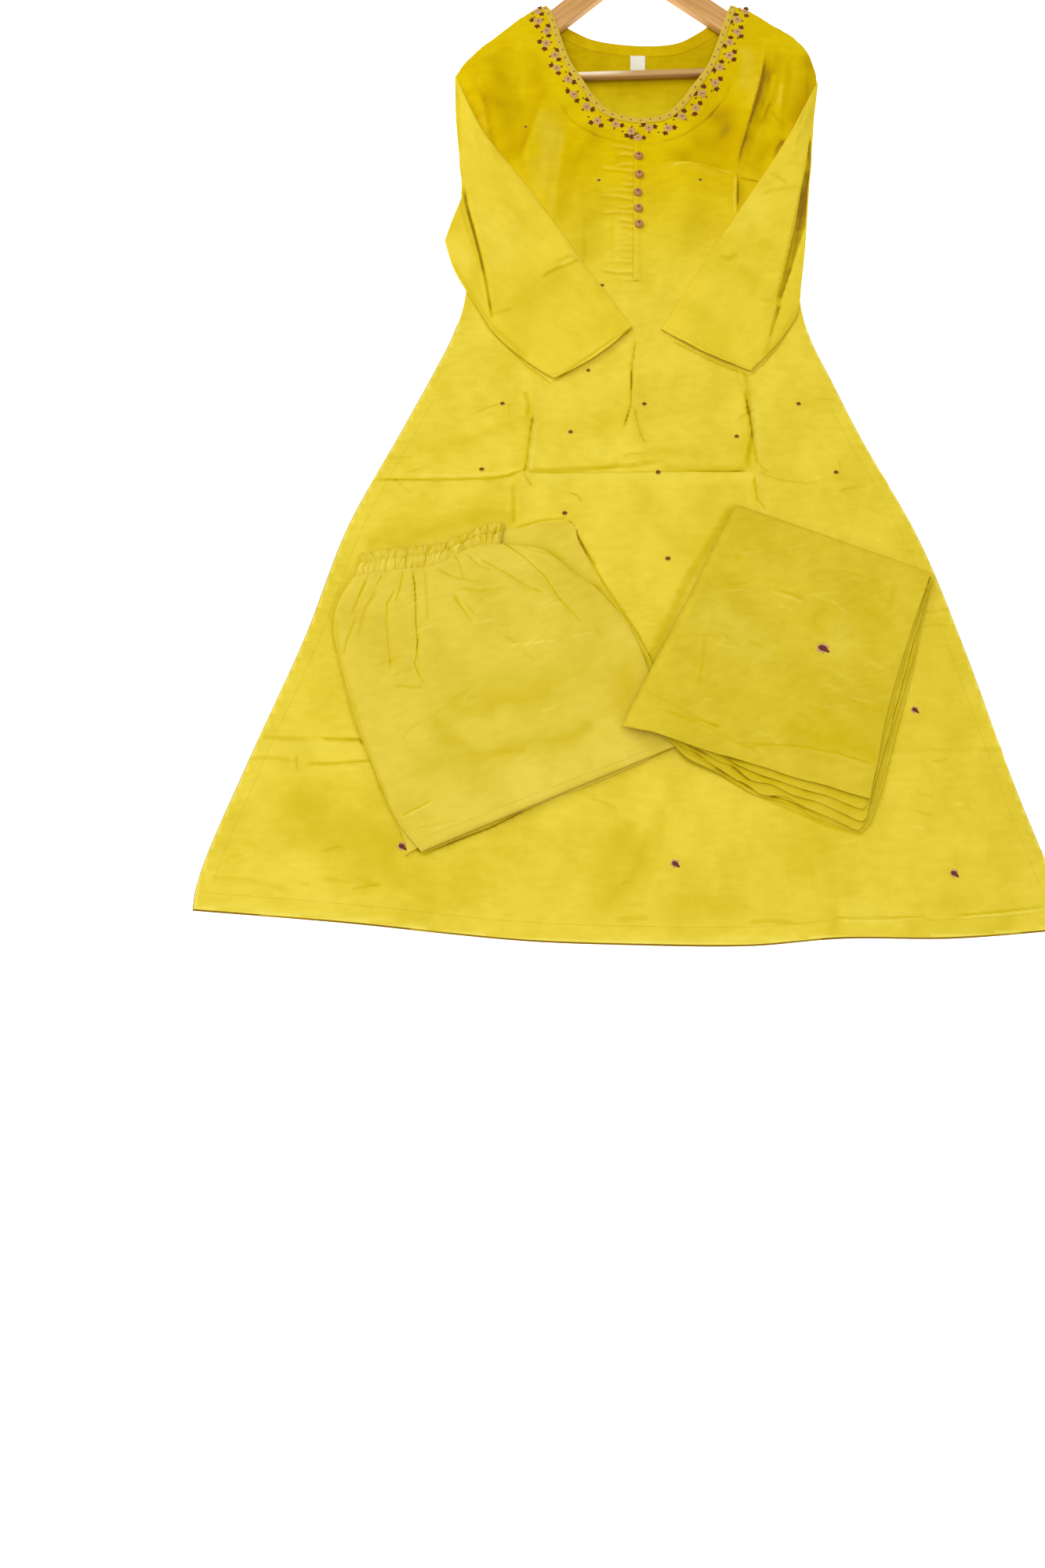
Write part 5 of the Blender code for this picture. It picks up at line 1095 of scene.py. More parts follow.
def makeSleeve(side, table, finish):
    # a flattened tube: its grid runs once round the sleeve, over the top and back below
    node = f"sleeve_{side}"
    tree = nodeTree(node)
    bm = newGrid(2 * sleeve["around"], sleeve["along"])
    shape = bm.verts.layers.float.new("top")
    for vertex in bm.verts:
        u, v = vertex.co.x + 0.5, vertex.co.y + 0.5
        t = v * v * (3 - 2 * v) * 0.35 + v * 0.65
        isTop = u <= 0.5
        k = 2 * u if isTop else 2 - 2 * u
        r = 0.5 - 0.5 * math.cos(math.pi * k)
        spot, width = sleevePlace(table, r, t, clothBow, sleeve[f"{side}Notch"])
        inset = sleeve["inset"] / width
        inner = sleevePlace(table, min(max(r, inset), 1 - inset), min(max(t, 0.006), 0.994), solidBow)[0]
        low, high = underAt(tree, inner.x, inner.y), topAt(tree, inner.x, inner.y)
        middle = (low + high) / 2
        near = min(min(r, 1 - r) * width, t * 400.0)
        bulge = math.sqrt(max(1 - (1 - min(near / sleeve["edge"], 1.0)) ** 2, 0.0))
        vertex.co = (spot.x, spot.y, middle + ((high if isTop else low) - middle) * bulge)
        vertex[shape] = min(near / sleeve["fade"], 1.0) if isTop else 0.0
    bmesh.ops.remove_doubles(bm, verts=bm.verts, dist=0.004)
    bmesh.ops.recalc_face_normals(bm, faces=bm.faces)
    smoothHeights(bm, 4)
    places = flatPlaces(bm)
    creases = sleeve[f"{side}Creases"]
    folds = creaseHeights(places, creases)
    for vertex, fold in zip(bm.verts, folds):
        x, y = vertex.co.xy
        lift = fold + 0.7 * ripple(x, y, 55, 1.3) + 0.35 * ripple(x, y, 24, 5.3)
        for gapeX, gapeY, height, reach in sleeve[f"{side}Gapes"]:
            lift += height * math.exp(-((x - gapeX) ** 2 + (y - gapeY) ** 2) / reach**2)
        vertex.co.z += max(lift, sleeve["deepest"]) * vertex[shape]
    paintTones(bm, places, sleeve[f"{side}Tones"], sleeve[f"{side}Swells"], creases, 0.05)
    area = sheetArea(bm)
    surface = BVHTree.FromBMesh(bm)
    piece = addPiece(f"sleeve{side.capitalize()}", bm, finish, (node,), wall=sleeve["wall"])
    return surface


leftSurface = makeSleeve("left", sleeveLeft, finishes["sleeve"])
rightSurface = makeSleeve("right", sleeveRight, finishes["sleeveRight"])
print("sleeves folded")


trouser = {
    "columns": 190,
    "rows": 165,
    "wall": 1.1,
    "rest": 3.0,
    "low": 2.6,
    "loft": 5.4,
    "round": 14.0,
    "length": 330.0,
    "fade": 12.0,
    "crinkles": (26, -290, -40, -480, -270, 20.0, 9),
    "creases": (
        (-2.4, 5, 6, ((-246, -250), (-244, -256), (-242, -274), (-239, -307), (-237, -337), (-238, -356),
            (-235, -374), (-226, -388))),
        (-1.8, 5, 6, ((-257, -250), (-258, -270), (-264, -296))),
        (-2.0, 5, 6, ((-263, -270), (-272, -294), (-271, -319), (-267, -338), (-265, -363), (-268, -384))),
        (-1.6, 5, 7, ((-292, -266), (-303, -278), (-306, -295), (-308, -318), (-315, -337), (-316, -356))),
        (-1.6, 5, 6, ((-276, -258), (-284, -280), (-296, -299), (-300, -340))),
        (-1.6, 5, 6, ((-232, -255), (-229, -281), (-225, -322))),
        (-1.8, 6, 6, ((-226, -252), (-204, -260), (-188, -266), (-172, -269))),
        (-1.4, 6, 7, ((-190, -275), (-162, -276), (-140, -273))),
        (-1.4, 5, 6, ((-202, -237), (-192, -254), (-186, -268))),
        (-1.4, 5, 6, ((-188, -232), (-171, -246), (-152, -256))),
        (-1.6, 5, 7, ((-176, -234), (-145, -255), (-123, -269), (-98, -280))),
        (-1.6, 5, 7, ((-152, -222), (-117, -243), (-101, -261), (-83, -284), (-60, -312))),
        (-1.2, 5, 6, ((-148, -217), (-117, -230), (-90, -242), (-74, -244))),
        (-1.5, 6, 8, ((-201, -279), (-189, -303), (-178, -315), (-161, -314), (-136, -311))),
        (-1.2, 5, 6, ((-191, -287), (-175, -310))),
        (1.4, 7, 9, ((-140, -340), (-112, -339), (-84, -332), (-36, -321))),
        (1.2, 6, 7, ((-260, -388), (-242, -391), (-225, -389))),
        (-1.7, 16, 24, ((-222, -430), (-184, -456), (-154, -465), (-108, -452), (-10, -424))),
        (-1.0, 7, 9, ((-158, -431), (-140, -438), (-122, -434))),
        (0.9, 9, 12, ((-124, -388), (-83, -383), (-56, -372))),
        (1.4, 7, 8, ((-248, -536), (-205, -517), (-150, -492))),
        (-1.1, 7, 8, ((-252, -526), (-222, -514), (-196, -500))),
        (1.2, 8, 9, ((-252, -300), (-253, -350), (-252, -400))),
        (1.3, 7, 8, ((-282, -290), (-284, -330), (-282, -372))),
        (1.1, 8, 9, ((-216, -290), (-214, -340), (-208, -380))),
        (1.0, 8, 10, ((-160, -290), (-130, -296), (-96, -306))), (0.8, 5, 6, ((-296, -360), (-294, -392))),
    ),
    # painted shade (+) or painted highlight (-) strokes: how deep, width at its start, width at its end,
    # softness, points
    "tones": (
        (0.78, 1.2, 0.9, 0.9, ((-245, -256), (-242, -271), (-240, -293), (-239, -314), (-236, -336),
            (-236, -352))),
        (0.55, 1.1, 0.8, 0.9, ((-236, -352), (-238, -362), (-233, -375), (-228, -385))),
        (0.52, 1.1, 0.9, 0.9, ((-255, -256), (-257, -272), (-260, -285), (-262, -292))),
        (0.5, 1.1, 0.9, 0.9, ((-263, -279), (-271, -294), (-271, -315), (-268, -337), (-265, -358),
            (-264, -371))),
        (0.5, 1.3, 0.9, 1, ((-278, -263), (-283, -273))),
        (0.45, 1.7, 1.2, 1.3, ((-295, -270), (-303, -289), (-309, -308))),
        (0.3, 2.2, 1.5, 1.8, ((-284, -281), (-295, -302), (-300, -332))),
        (0.36, 1.6, 1.5, 1.6, ((-305, -313), (-312, -338), (-315, -354))),
        (0.32, 1.1, 0.9, 1, ((-231, -257), (-229, -279), (-226, -314))),
        (0.48, 1.1, 0.9, 0.9, ((-217, -254), (-199, -262), (-171, -268))),
        (0.42, 1, 0.8, 0.9, ((-200, -235), (-193, -248), (-189, -265))),
        (0.45, 1.1, 0.8, 0.9, ((-185, -236), (-172, -248), (-159, -253))),
        (0.55, 1.3, 0.9, 0.9, ((-170, -241), (-144, -255), (-118, -271), (-102, -278))),
        (0.58, 1.3, 0.9, 0.9, ((-147, -220), (-122, -237), (-101, -257), (-83, -284), (-61, -309))),
        (0.32, 1.1, 0.9, 1, ((-135, -218), (-114, -229), (-94, -232))),
        (0.48, 1.4, 1.2, 1, ((-127, -208), (-96, -224), (-73, -238), (-45, -266), (-17, -298))),
        (0.42, 2.6, 1.2, 1.6, ((-198, -284), (-188, -300), (-177, -315))),
        (0.3, 1.6, 1.2, 1.2, ((-186, -292), (-176, -305))),
        (0.36, 1.3, 0.9, 1, ((-191, -275), (-168, -278), (-143, -273))),
        (-0.65, 1.1, 0.9, 0.9, ((-136, -341), (-114, -338), (-87, -334))),
        (-0.4, 1.1, 0.9, 0.9, ((-69, -331), (-45, -322))),
        (0.28, 1.6, 1.2, 1.4, ((-142, -330), (-124, -341))),
        (0.42, 1.5, 1.1, 1, ((-256, -390), (-244, -391), (-227, -391))),
        (-0.5, 1.3, 0.9, 0.9, ((-244, -536), (-228, -528), (-212, -518))),
        (0.34, 1.6, 1.2, 1.2, ((-243, -533), (-228, -525), (-214, -517))),
        (0.24, 1.2, 1, 1, ((-230, -547), (-199, -540), (-184, -537))),
        (0.22, 3, 3, 3, ((-327, -314), (-319, -359), (-305, -401), (-290, -447), (-260, -517))),
        (-0.4, 1.1, 0.9, 0.9, ((-177, -315), (-152, -311))), (0.2, 2, 2, 2, ((-42, -320), (-38, -327))),
        (0.25, 1.5, 1.2, 1.5, ((-121, -349), (-109, -357))),
    ),
    # soft swells of painted shade (+) or painted highlight (-): how deep, width to the left, width to the
    # right, points
    "swells": (
        (0.34, 7.6, 7.6, ((-210, -432), (-190, -451), (-172, -462), (-148, -460), (-124, -454), (-80, -443),
            (-48, -431))),
        (0.24, 9.2, 9.2, ((-230, -485), (-218, -482), (-201, -476))),
        (-0.26, 19.5, 19.5, ((-184, -533), (-103, -493), (-6, -453))),
        (0.26, 13.8, 13.8, ((-7, -365), (-12, -394), (-21, -417))),
        (0.17, 21.3, 21.3, ((-155, -387), (-106, -380), (-56, -369))),
        (0.2, 13.2, 13.2, ((-184, -413), (-140, -405), (-105, -396))),
        (-0.17, 18.4, 18.4, ((-172, -240), (-119, -249))),
    ),
}


def roundOver(distance, radius):
    # the height, 0 to 1, of a rounded edge at this distance from it
    t = min(max(distance / radius, 0.0), 1.0)
    return math.sqrt(max(1.0 - (1.0 - t) ** 2, 0.0))


def seamShift(share, t):
    # how far the waist's seam leaves a straight line, fading out down the cloth
    x = mix(waistSeam[0][0], waistSeam[-1][0], share)
    straight = mix(waistSeam[0][1], waistSeam[-1][1], share)
    return (smoothRead(waistSeam, 1, x) - straight) * max(1.0 - t / 0.3, 0.0)


def trouserPlace(share, t):
    left = Vector((smoothAlong(trouserRows, 0, t), smoothAlong(trouserRows, 1, t)))
    right = Vector((smoothAlong(trouserRows, 2, t), smoothAlong(trouserRows, 3, t)))
    spot = left.lerp(right, share)
    spot.y += seamShift(share, t)
    return spot, (right - left).length


def makeTrouserFront():
    bm = newGrid(trouser["columns"], trouser["rows"])
    masks = []
    for vertex in bm.verts:
        u, t = vertex.co.x + 0.5, 0.5 - vertex.co.y
        share = mix(u, 0.5 - 0.5 * math.cos(math.pi * u), 0.45)
        t = mix(t, math.sin(t * math.pi / 2), 0.35)
        spot, width = trouserPlace(share, t)
        edge = min(share, 1.0 - share) * width
        fold = (1.0 - t) * trouser["length"]
        rounded = roundOver(edge + 1.0, trouser["round"]) * roundOver(fold + 1.0, trouser["round"])
        loft = trouser["loft"] * mix(1.0, 0.45, ease((spot.x + 90) / 110))
        gather = 0.5 + 0.9 * noiseAt(share * 46, t * 2.0, 5.1)
        fall = gather * 1.5 * ease(1.0 - t / 0.13)
        vertex.co = (spot.x, spot.y, trouser["rest"] + trouser["low"] + 2.1 + loft * rounded + fall)
        masks.append(min(min(edge, fold) / trouser["fade"], 1.0))
    faceUp(bm)
    bm.normal_update()
    places = flatPlaces(bm)
    folds = creaseHeights(places, trouser["creases"])
    for vertex, fold, mask in zip(bm.verts, folds, masks):
        x, y = vertex.co.xy
        busy = ease((y + 420) / 140)
        slack = 0.45 * ripple(x, y, 70, 2.3) + (0.3 + 0.5 * busy) * ripple(x, y, 26, 9.1)
        vertex.co.z = max(vertex.co.z + (fold + slack) * mask, trouser["rest"] + trouser["low"] + 1.6)
    crinkles = crinkleTones(*trouser["crinkles"])
    paintTones(bm, places, trouser["tones"] + crinkles, trouser["swells"], trouser["creases"], 0.05)
    area = sheetArea(bm)
    surface = BVHTree.FromBMesh(bm)
    piece = addPiece("trouserFront", bm, finishes["trouser"], ("trouser_front",),
                     wall=trouser["wall"])
    return surface


waistband = {"columns": 390, "rows": 26, "length": 162, "height": 26, "rest": 6.4, "wall": 1.0}


def makeWaistband():
    # gathered cloth: frills lean and part at random above and below the channel's seam
    bm = newGrid(waistband["columns"], waistband["rows"])
    shade = bm.verts.layers.float.new("shade")
    paintedHighlight = bm.verts.layers.float.new("paintedHighlight")
    for vertex in bm.verts:
        share, t = vertex.co.x + 0.5, vertex.co.y + 0.5
        lowX = mix(waistSeam[0][0], waistSeam[-1][0], share)
        highX = mix(waistTop[0][0], waistTop[-1][0], share)
        patchy = ease(0.5 + 2.2 * noiseAt(share * 5.5, 0.4, 8.2))
        nearMiddle, nearEnd = ease(1.0 - abs(share - 0.35) / 0.22), ease(1.0 - abs(share - 0.88) / 0.09)
        busy = mix(0.35, 1.0, max(patchy, nearMiddle, nearEnd))
        part = 3.7 if t > 0.6 else 0.0
        lean = share * waistband["length"] + 4.0 * noiseAt(share * 20, t * 2.6, 3.3 + part)
        wave = 0.5 + 0.95 * noiseAt(lean / 2.7, t * 1.1, 6.1 + part)
        fine = 0.5 + 0.9 * noiseAt(lean / 1.5, t * 3.0, 9.7 + part)
        rough = noiseAt(share * 48, t * 3.0, 1.9)
        low = smoothRead(waistSeam, 1, lowX) - 1.5 + 1.2 * rough
        high = smoothRead(waistTop, 1, highX) + 3.2 * (wave - 0.5) + 2.6 * rough
        pinch = 0.5 * math.exp(-(((t - 0.06) / 0.05) ** 2)) + math.exp(-(((t - 0.6) / 0.035) ** 2))
        depth = 0.8 + (1.5 * wave + 0.7 * fine) * busy - 1.0 * pinch + 0.7 * math.sin(math.pi * t)
        ends = roundOver(min(share, 1.0 - share) * waistband["length"] + 0.4, 6.0)
        ends *= roundOver((1.0 - t) * waistband["height"] + 0.8, 4.0)
        sway = 1.6 * noiseAt(share * 30, t * 2.2, 7.7)
        z = waistband["rest"] + ends + (2.4 + depth) * ends
        vertex.co = (mix(lowX, highX, t) + sway, mix(low, high, t), z)
        # painted shade in the frills' hollows and along the pinched seams, a little deeper on the upper
        # frill, and a painted highlight on the crests
        hollow = max(0.42 - wave, 0.0) * 1.5 * busy + max(0.4 - fine, 0.0) * 0.7 * busy + 0.24 * pinch * busy
        vertex[shade] = min(hollow + 0.1 * ease((t - 0.45) / 0.2), 0.75) * ends
        vertex[paintedHighlight] = min(max(wave - 0.66, 0.0) * 1.2, 0.5)
    faceUp(bm)
    area = sheetArea(bm)
    piece = addPiece("trouserWaistband", bm, finishes["trouser"], ("trouser_waistband",),
                     wall=waistband["wall"])


def insetOutline(outline, centre, inset, wobble, seed):
    # an outline drawn in towards its centre, with the small waver of a free cloth edge
    made = []
    for point in samplePath(outline + outline[:1], 7.0)[:-1]:
        away = point - Vector(centre)
        reach = away.length
        shift = inset + wobble * noiseAt(point.x / 26, point.y / 26, seed)
        made.append(Vector(centre) + away * ((reach - shift) / reach))
    return made


def addLeaf(bm, outline, pitch, heightAt, rimWidth, drop, seed, above, shadow, aside=0.5):
    # one thin layer: its rim turns down a little over the layer below, and it gets a painted shadow close
    # to the edge of the layer above
    xs, ys = [p[0] for p in outline], [p[1] for p in outline]
    leaf = cutSheet([(p[0], p[1]) for p in outline], evenLines(min(xs), max(xs), pitch),
                    evenLines(min(ys), max(ys), pitch))
    for reach in (4.0, 2.5):
        refineNear(leaf, [above], reach)
    rim = edgeMiddles([edge for edge in leaf.edges if edge.is_boundary])
    for vertex in leaf.verts:
        x, y = vertex.co.xy
        away = np.sqrt(((rim - (x, y)) ** 2).sum(axis=1).min())
        fall = drop * (1.0 - roundOver(away, rimWidth))
        vertex.co.z = heightAt(x, y) - fall + 0.35 * ripple(x, y, 30, seed) * (1.0 - ease(away / 30))
    shade = leaf.verts.layers.float.new("shade")
    near = besideLine(flatPlaces(leaf), above)[0]
    # painted shadow under the edge of the layer above: deep and narrow close to it, with a faint wide fringe
    for vertex, gap in zip(leaf.verts, near):
        x, y = vertex.co.xy
        hollow = min(max(0.38 + 1.1 * ripple(x, y, 26, seed), 0.16), 1.0)
        hollow *= 1.0 - 0.5 * ease((x - 150) / 70)
        side = ease((x - 238) / 10)  # the painted shadow on the dupatta's folded right side is only fine lines
        close = (gap / mix(2.4 + 2.4 * hollow, 2.0, side)) ** 1.5
        wide = (gap / 9.0) ** 2
        vertex[shade] = mix(shadow * hollow, aside, side) * math.exp(-close)
        vertex[shade] += (0.22 - 0.17 * side) * math.exp(-wide)
    mesh = bpy.data.meshes.new("leaf")
    leaf.to_mesh(mesh)
    leaf.free()
    bm.from_mesh(mesh)
    bpy.data.meshes.remove(mesh)


trouserLayers = {
    "centre": (-150, -375),
    "pitch": 6.0,
    "rim": 5.0,
    "waver": 1.6,
    "shadow": 0.6,
    "wall": 1.15,
    # outline, how far it is drawn in, height, how far the rim turns down
    "layers": ((legEnd, 1.5, 4.35, 0.5), (legEnd, 0.0, 5.75, 0.9), (legBundle, 5.0, 7.2, 0.8),
               (legBundle, 9.0, 8.6, 0.9)),
}


def makeTrouserLayers():
    bm = bmesh.new()
    bm.verts.layers.float.new("shade")
    rightEdge = [(row[2], row[3]) for row in trouserRows]
    for i, (outline, inset, height, drop) in enumerate(trouserLayers["layers"]):
        path = insetOutline(outline, trouserLayers["centre"], inset, trouserLayers["waver"], i * 3.7)
        addLeaf(bm, path, trouserLayers["pitch"], lambda x, y: height, trouserLayers["rim"], drop, i * 2.9,
                rightEdge, trouserLayers["shadow"])
    area = sheetArea(bm)
    piece = addPiece("trouserLayers", bm, finishes["trouser"], ("trouser_folds",),
                     wall=trouserLayers["wall"])


trouserSurface = makeTrouserFront()
makeWaistband()
makeTrouserLayers()
print("trousers folded")


dupatta = {
    "cells": 180,
    "wall": 1.0,
    "round": 11.0,
    "rest": 3.0,
    "loft": 11.1,
    "fade": 12.0,
    "crinkles": (46, 40, 280, -470, -210, -14.0, 6),
    "creases": (
        (-1.4, 5, 7, ((206, -255), (214, -256), (265, -259), (284, -262))),
        (1.2, 5, 7, ((100, -273), (126, -274))), (1.3, 5, 7, ((148, -273), (166, -275), (186, -285))),
        (1.1, 5, 6, ((155, -288), (176, -297))), (1.1, 5, 7, ((76, -325), (106, -325))),
        (1.1, 5, 6, ((80, -336), (116, -338))), (0.9, 6, 9, ((88, -218), (120, -224), (166, -229))),
        (-2.0, 7, 8, ((218, -288), (213, -291), (198, -302), (191, -318))),
        (2.4, 13, 13, ((232, -300), (219, -313), (208, -330))), (0.9, 5, 6, ((71, -352), (67, -374))),
        (-1.5, 12, 16, ((196, -386), (206, -389), (242, -395), (266, -410))),
        (-1.7, 6, 9, ((100, -446), (114, -446), (164, -445), (204, -455), (249, -466))),
        (1.6, 7, 9, ((60, -437), (114, -452), (164, -456), (204, -464), (247, -478))),
        (-1.0, 8, 10, ((50, -425), (77, -436), (104, -449))), (0.9, 8, 10, ((130, -452), (184, -474))),
        (-0.9, 14, 16, ((40, -360), (80, -380), (130, -390))),
        (0.8, 12, 14, ((110, -330), (150, -345), (190, -350))),
        (0.8, 10, 12, ((150, -215), (190, -225), (250, -240))),
        (-0.8, 12, 12, ((120, -240), (160, -252), (200, -262))),
    ),
    # painted shade (+) or painted highlight (-) strokes: how deep, width at its start, width at its end,
    # softness, points
    "tones": (
        (0.36, 1.3, 0.9, 1, ((64, -327), (79, -324), (92, -328))),
        (-0.3, 1.3, 1, 1, ((87, -335), (101, -338), (112, -340))),
        (0.3, 1.2, 1, 1, ((96, -326), (112, -335))),
        (-0.28, 1.3, 1, 1, ((100, -273), (112, -271), (127, -272))),
        (0.28, 2, 1.6, 2, ((99, -265), (122, -262))),
        (-0.34, 1.3, 1, 1, ((150, -274), (167, -279), (181, -285))),
        (0.28, 1.6, 1.4, 1.6, ((154, -270), (182, -279))),
        (-0.34, 1.4, 1, 1, ((156, -288), (167, -293), (173, -296))),
        (0.3, 3, 2, 3, ((109, -231), (115, -233))), (0.25, 2, 2, 2, ((164, -230), (168, -231))),
        (0.55, 1.3, 1.3, 1, ((124, -447), (143, -446), (177, -448), (209, -454), (230, -459), (249, -466))),
        (-0.15, 2.5, 2.5, 2, ((143, -450), (177, -452), (209, -457), (247, -470))),
        (0.32, 1.3, 1, 1.1, ((208, -387), (237, -397), (264, -409))),
        (0.25, 1.4, 1, 1.4, ((227, -246), (267, -258))),
        (0.32, 1.3, 1, 1.2, ((10, -394), (37, -406), (71, -423), (88, -429))),
        (0.26, 1.3, 1, 1.2, ((22, -412), (56, -422), (88, -430))),
        (0.32, 2, 1.2, 1.6, ((74, -327), (73, -348), (67, -383))),
        (0.26, 3, 3, 3, ((282, -261), (275, -290))),
        (0.1, 2.5, 2.5, 3, ((108, -177), (82, -221), (59, -268), (37, -320), (17, -368))),
        (0.3, 1.2, 1, 1, ((34, -415), (90, -431))),
        (0.3, 1.4, 1.2, 1.3, ((44, -421), (80, -433), (133, -458))),
    ),
    # soft swells of painted shade (+) or painted highlight (-): how deep, width to the left, width to the
    # right, points
    "swells": (
        (0.32, 8.6, 8.6, ((207, -291), (201, -302), (197, -313))),
        (0.29, 10.1, 10.1, ((163, -429), (192, -438), (226, -441), (250, -451))),
        (0.19, 20.7, 20.7, ((193, -418), (226, -427))), (-0.21, 25.3, 25.3, ((82, -305), (131, -341))),
        (-0.21, 17.2, 17.2, ((210, -318), (220, -339))), (0.19, 12.6, 12.6, ((256, -301), (254, -343))),
        (0.17, 17.2, 17.2, ((110, -394), (144, -404))), (0.17, 18.4, 18.4, ((224, -190), (284, -208))),
    ),
}


def dupattaRise(away):
    # the pad is thicker towards its left corner
    return 9.6 * ease((165 - away) / 135)


def makeDupattaTop():
    left, bottomRight, right, top = (Vector(corner) for corner in dupattaCorners)
    bm = newGrid(dupatta["cells"], dupatta["cells"])
    sideWay, headWay = (top - left).normalized(), (right - top).normalized()
    masks = []
    for vertex in bm.verts:
        a, b = vertex.co.x + 0.5, vertex.co.y + 0.5
        a, b = mix(a, a * a, 0.45), 1.0 - mix(1.0 - b, (1.0 - b) ** 2, 0.45)
        spot = left.lerp(bottomRight, a).lerp(top.lerp(right, a), b)
        spot.x -= 7.0 * math.sin(math.pi * b) * a**6
        spot += Vector((0, 1)) * 2.2 * noiseAt(a * 7, 0.3, 1.7) * (1 - b) ** 4
        spot += Vector((1, 0)) * 2.0 * noiseAt(b * 6, 4.3, 2.7) * a**8
        fromLeft = abs((spot - left).cross(sideWay))
        fromTop = abs((spot - top).cross(headWay))
        rounded = roundOver(fromLeft + 0.6, dupatta["round"]) * roundOver(fromTop + 0.6, dupatta["round"])
        base = dupatta["rest"] + dupattaRise((spot - left).length)
        vertex.co = (spot.x, spot.y, base + 1.5 + (dupatta["loft"] + 0.6) * max(rounded, 0.05))
        masks.append(min(min(fromLeft, fromTop) / dupatta["fade"], 1.0))
    places = flatPlaces(bm)
    folds = creaseHeights(places, dupatta["creases"])
    for vertex, fold, mask in zip(bm.verts, folds, masks):
        x, y = vertex.co.xy
        slack = 0.5 * ripple(x, y, 60, 4.4) + 0.45 * ripple(x, y, 22, 8.8)
        vertex.co.z += (fold + slack) * mask
    faceUp(bm)
    crinkles = crinkleTones(*dupatta["crinkles"])
    paintTones(bm, places, dupatta["tones"] + crinkles, dupatta["swells"], dupatta["creases"], 0.05)
    area = sheetArea(bm)
    surface = BVHTree.FromBMesh(bm)
    piece = addPiece("dupattaTop", bm, finishes["dupatta"], ("dupatta_top",),
                     wall=dupatta["wall"])
    return surface


dupattaLayers = {
    "centre": (164, -341),
    "pitch": 4.0,
    "rim": 4.0,
    "waver": 1.4,
    "shadow": 0.62,
    "wall": 1.0,
    # outline, how far it is drawn in, height, how far the rim turns down, the edge of the layer above,
    # how deep the painted shadow line under that edge is at the right side
    "layers": (
        (leafOne, 0.0, 4.5, 0.9, leafTwo, 0.1), (leafOne, 4.0, 6.2, 0.9, leafTwo, 0.1),
        (leafTwo, 0.0, 8.2, 1.0, leafThree, 0.75), (leafThree, 0.0, 10.6, 1.0, leafFour, 0.05),
        (leafFour, 0.0, 13.1, 1.0, dupattaCorners[:3], 0.75),
    ),
}


def keepUnderTop(path, inset):
    # a layer's points stay this far inside the two folded edges of the top
    for corner, other in ((0, 3), (3, 2)):
        start, end = Vector(dupattaCorners[corner]), Vector(dupattaCorners[other])
        way = (end - start).normalized()
        inward = Vector((way.y, -way.x))
        for point in path:
            short = inset - (point - start).dot(inward)
            if short > 0.0:
                point += inward * short


def makeDupattaLayers():
    bm = bmesh.new()
    bm.verts.layers.float.new("shade")
    cornerX, cornerY = dupattaCorners[0]
    for i, (outline, inset, height, drop, above, aside) in enumerate(dupattaLayers["layers"]):
        path = insetOutline(outline, dupattaLayers["centre"], inset, dupattaLayers["waver"], 11 + i * 2.3)
        keepUnderTop(path, 5.0 + 0.8 * i)
        addLeaf(bm, path, dupattaLayers["pitch"],
                lambda x, y: height + dupattaRise(math.hypot(x - cornerX, y - cornerY)),
                dupattaLayers["rim"], drop, i * 5.1, above, dupattaLayers["shadow"], aside)
    area = sheetArea(bm)
    piece = addPiece("dupattaLayers", bm, finishes["dupatta"], ("dupatta_folds",),
                     wall=dupattaLayers["wall"])


dupattaSurface = makeDupattaTop()
makeDupattaLayers()
print("dupatta folded")


neck = {
    "braidWidth": 8.0,
    "braidThick": 1.3,
    "facingWidth": 15.0,
    "facingThick": 0.6,
    "sprigPitch": 17.6,
    "sprigOffset": 16.6,
    "sprigStep": 2.5,
    "tickAway": 6.2,
    "dotPitch": 11.0,
    "flower": 11.2,
    "placketFlower": (0.5, 317.5),
}


def makeBand(name, path, width, thick, surface, lift, finish, replaced, start, steps):
    # a narrow band beside a path, to the right of its run
    count = len(path) - 1
    bm = newGrid(count, steps)
    for vertex in bm.verts:
        i, w = round((vertex.co.x + 0.5) * count), vertex.co.y + 0.5
        before, after = path[max(i - 1, 0)], path[min(i + 1, count)]
        run = (after - before).normalized()
        spot = path[i] + Vector((run.y, -run.x)) * (start + width * w)
        crown = thick * roundOver(min(w, 1 - w) * width + 0.1, width * 0.3)
        vertex.co = (spot.x, spot.y, topAt(surface, spot.x, spot.y, 12.0) + lift + crown)
    smoothHeights(bm, 2)
    bm.normal_update()
    faceUp(bm)
    area = sheetArea(bm)
    surfaceOut = BVHTree.FromBMesh(bm)
    piece = addPiece(name, bm, finish, replaced, wall=min(thick, 1.0))
    return surfaceOut


def neckSpot(path, distance, offset):
    # a place beside the neck's edge: how far along, how far out, and its heading
    run = 0.0
    for a, b in zip(path, path[1:]):
        step = (b - a).length
        if run + step >= distance:
            way = (b - a) / step
            spot = a + way * (distance - run) + Vector((way.y, -way.x)) * offset
            return spot, math.atan2(way.y, way.x)
        run += step
    way = (path[-1] - path[-2]).normalized()
    return path[-1] + Vector((way.y, -way.x)) * offset, math.atan2(way.y, way.x)


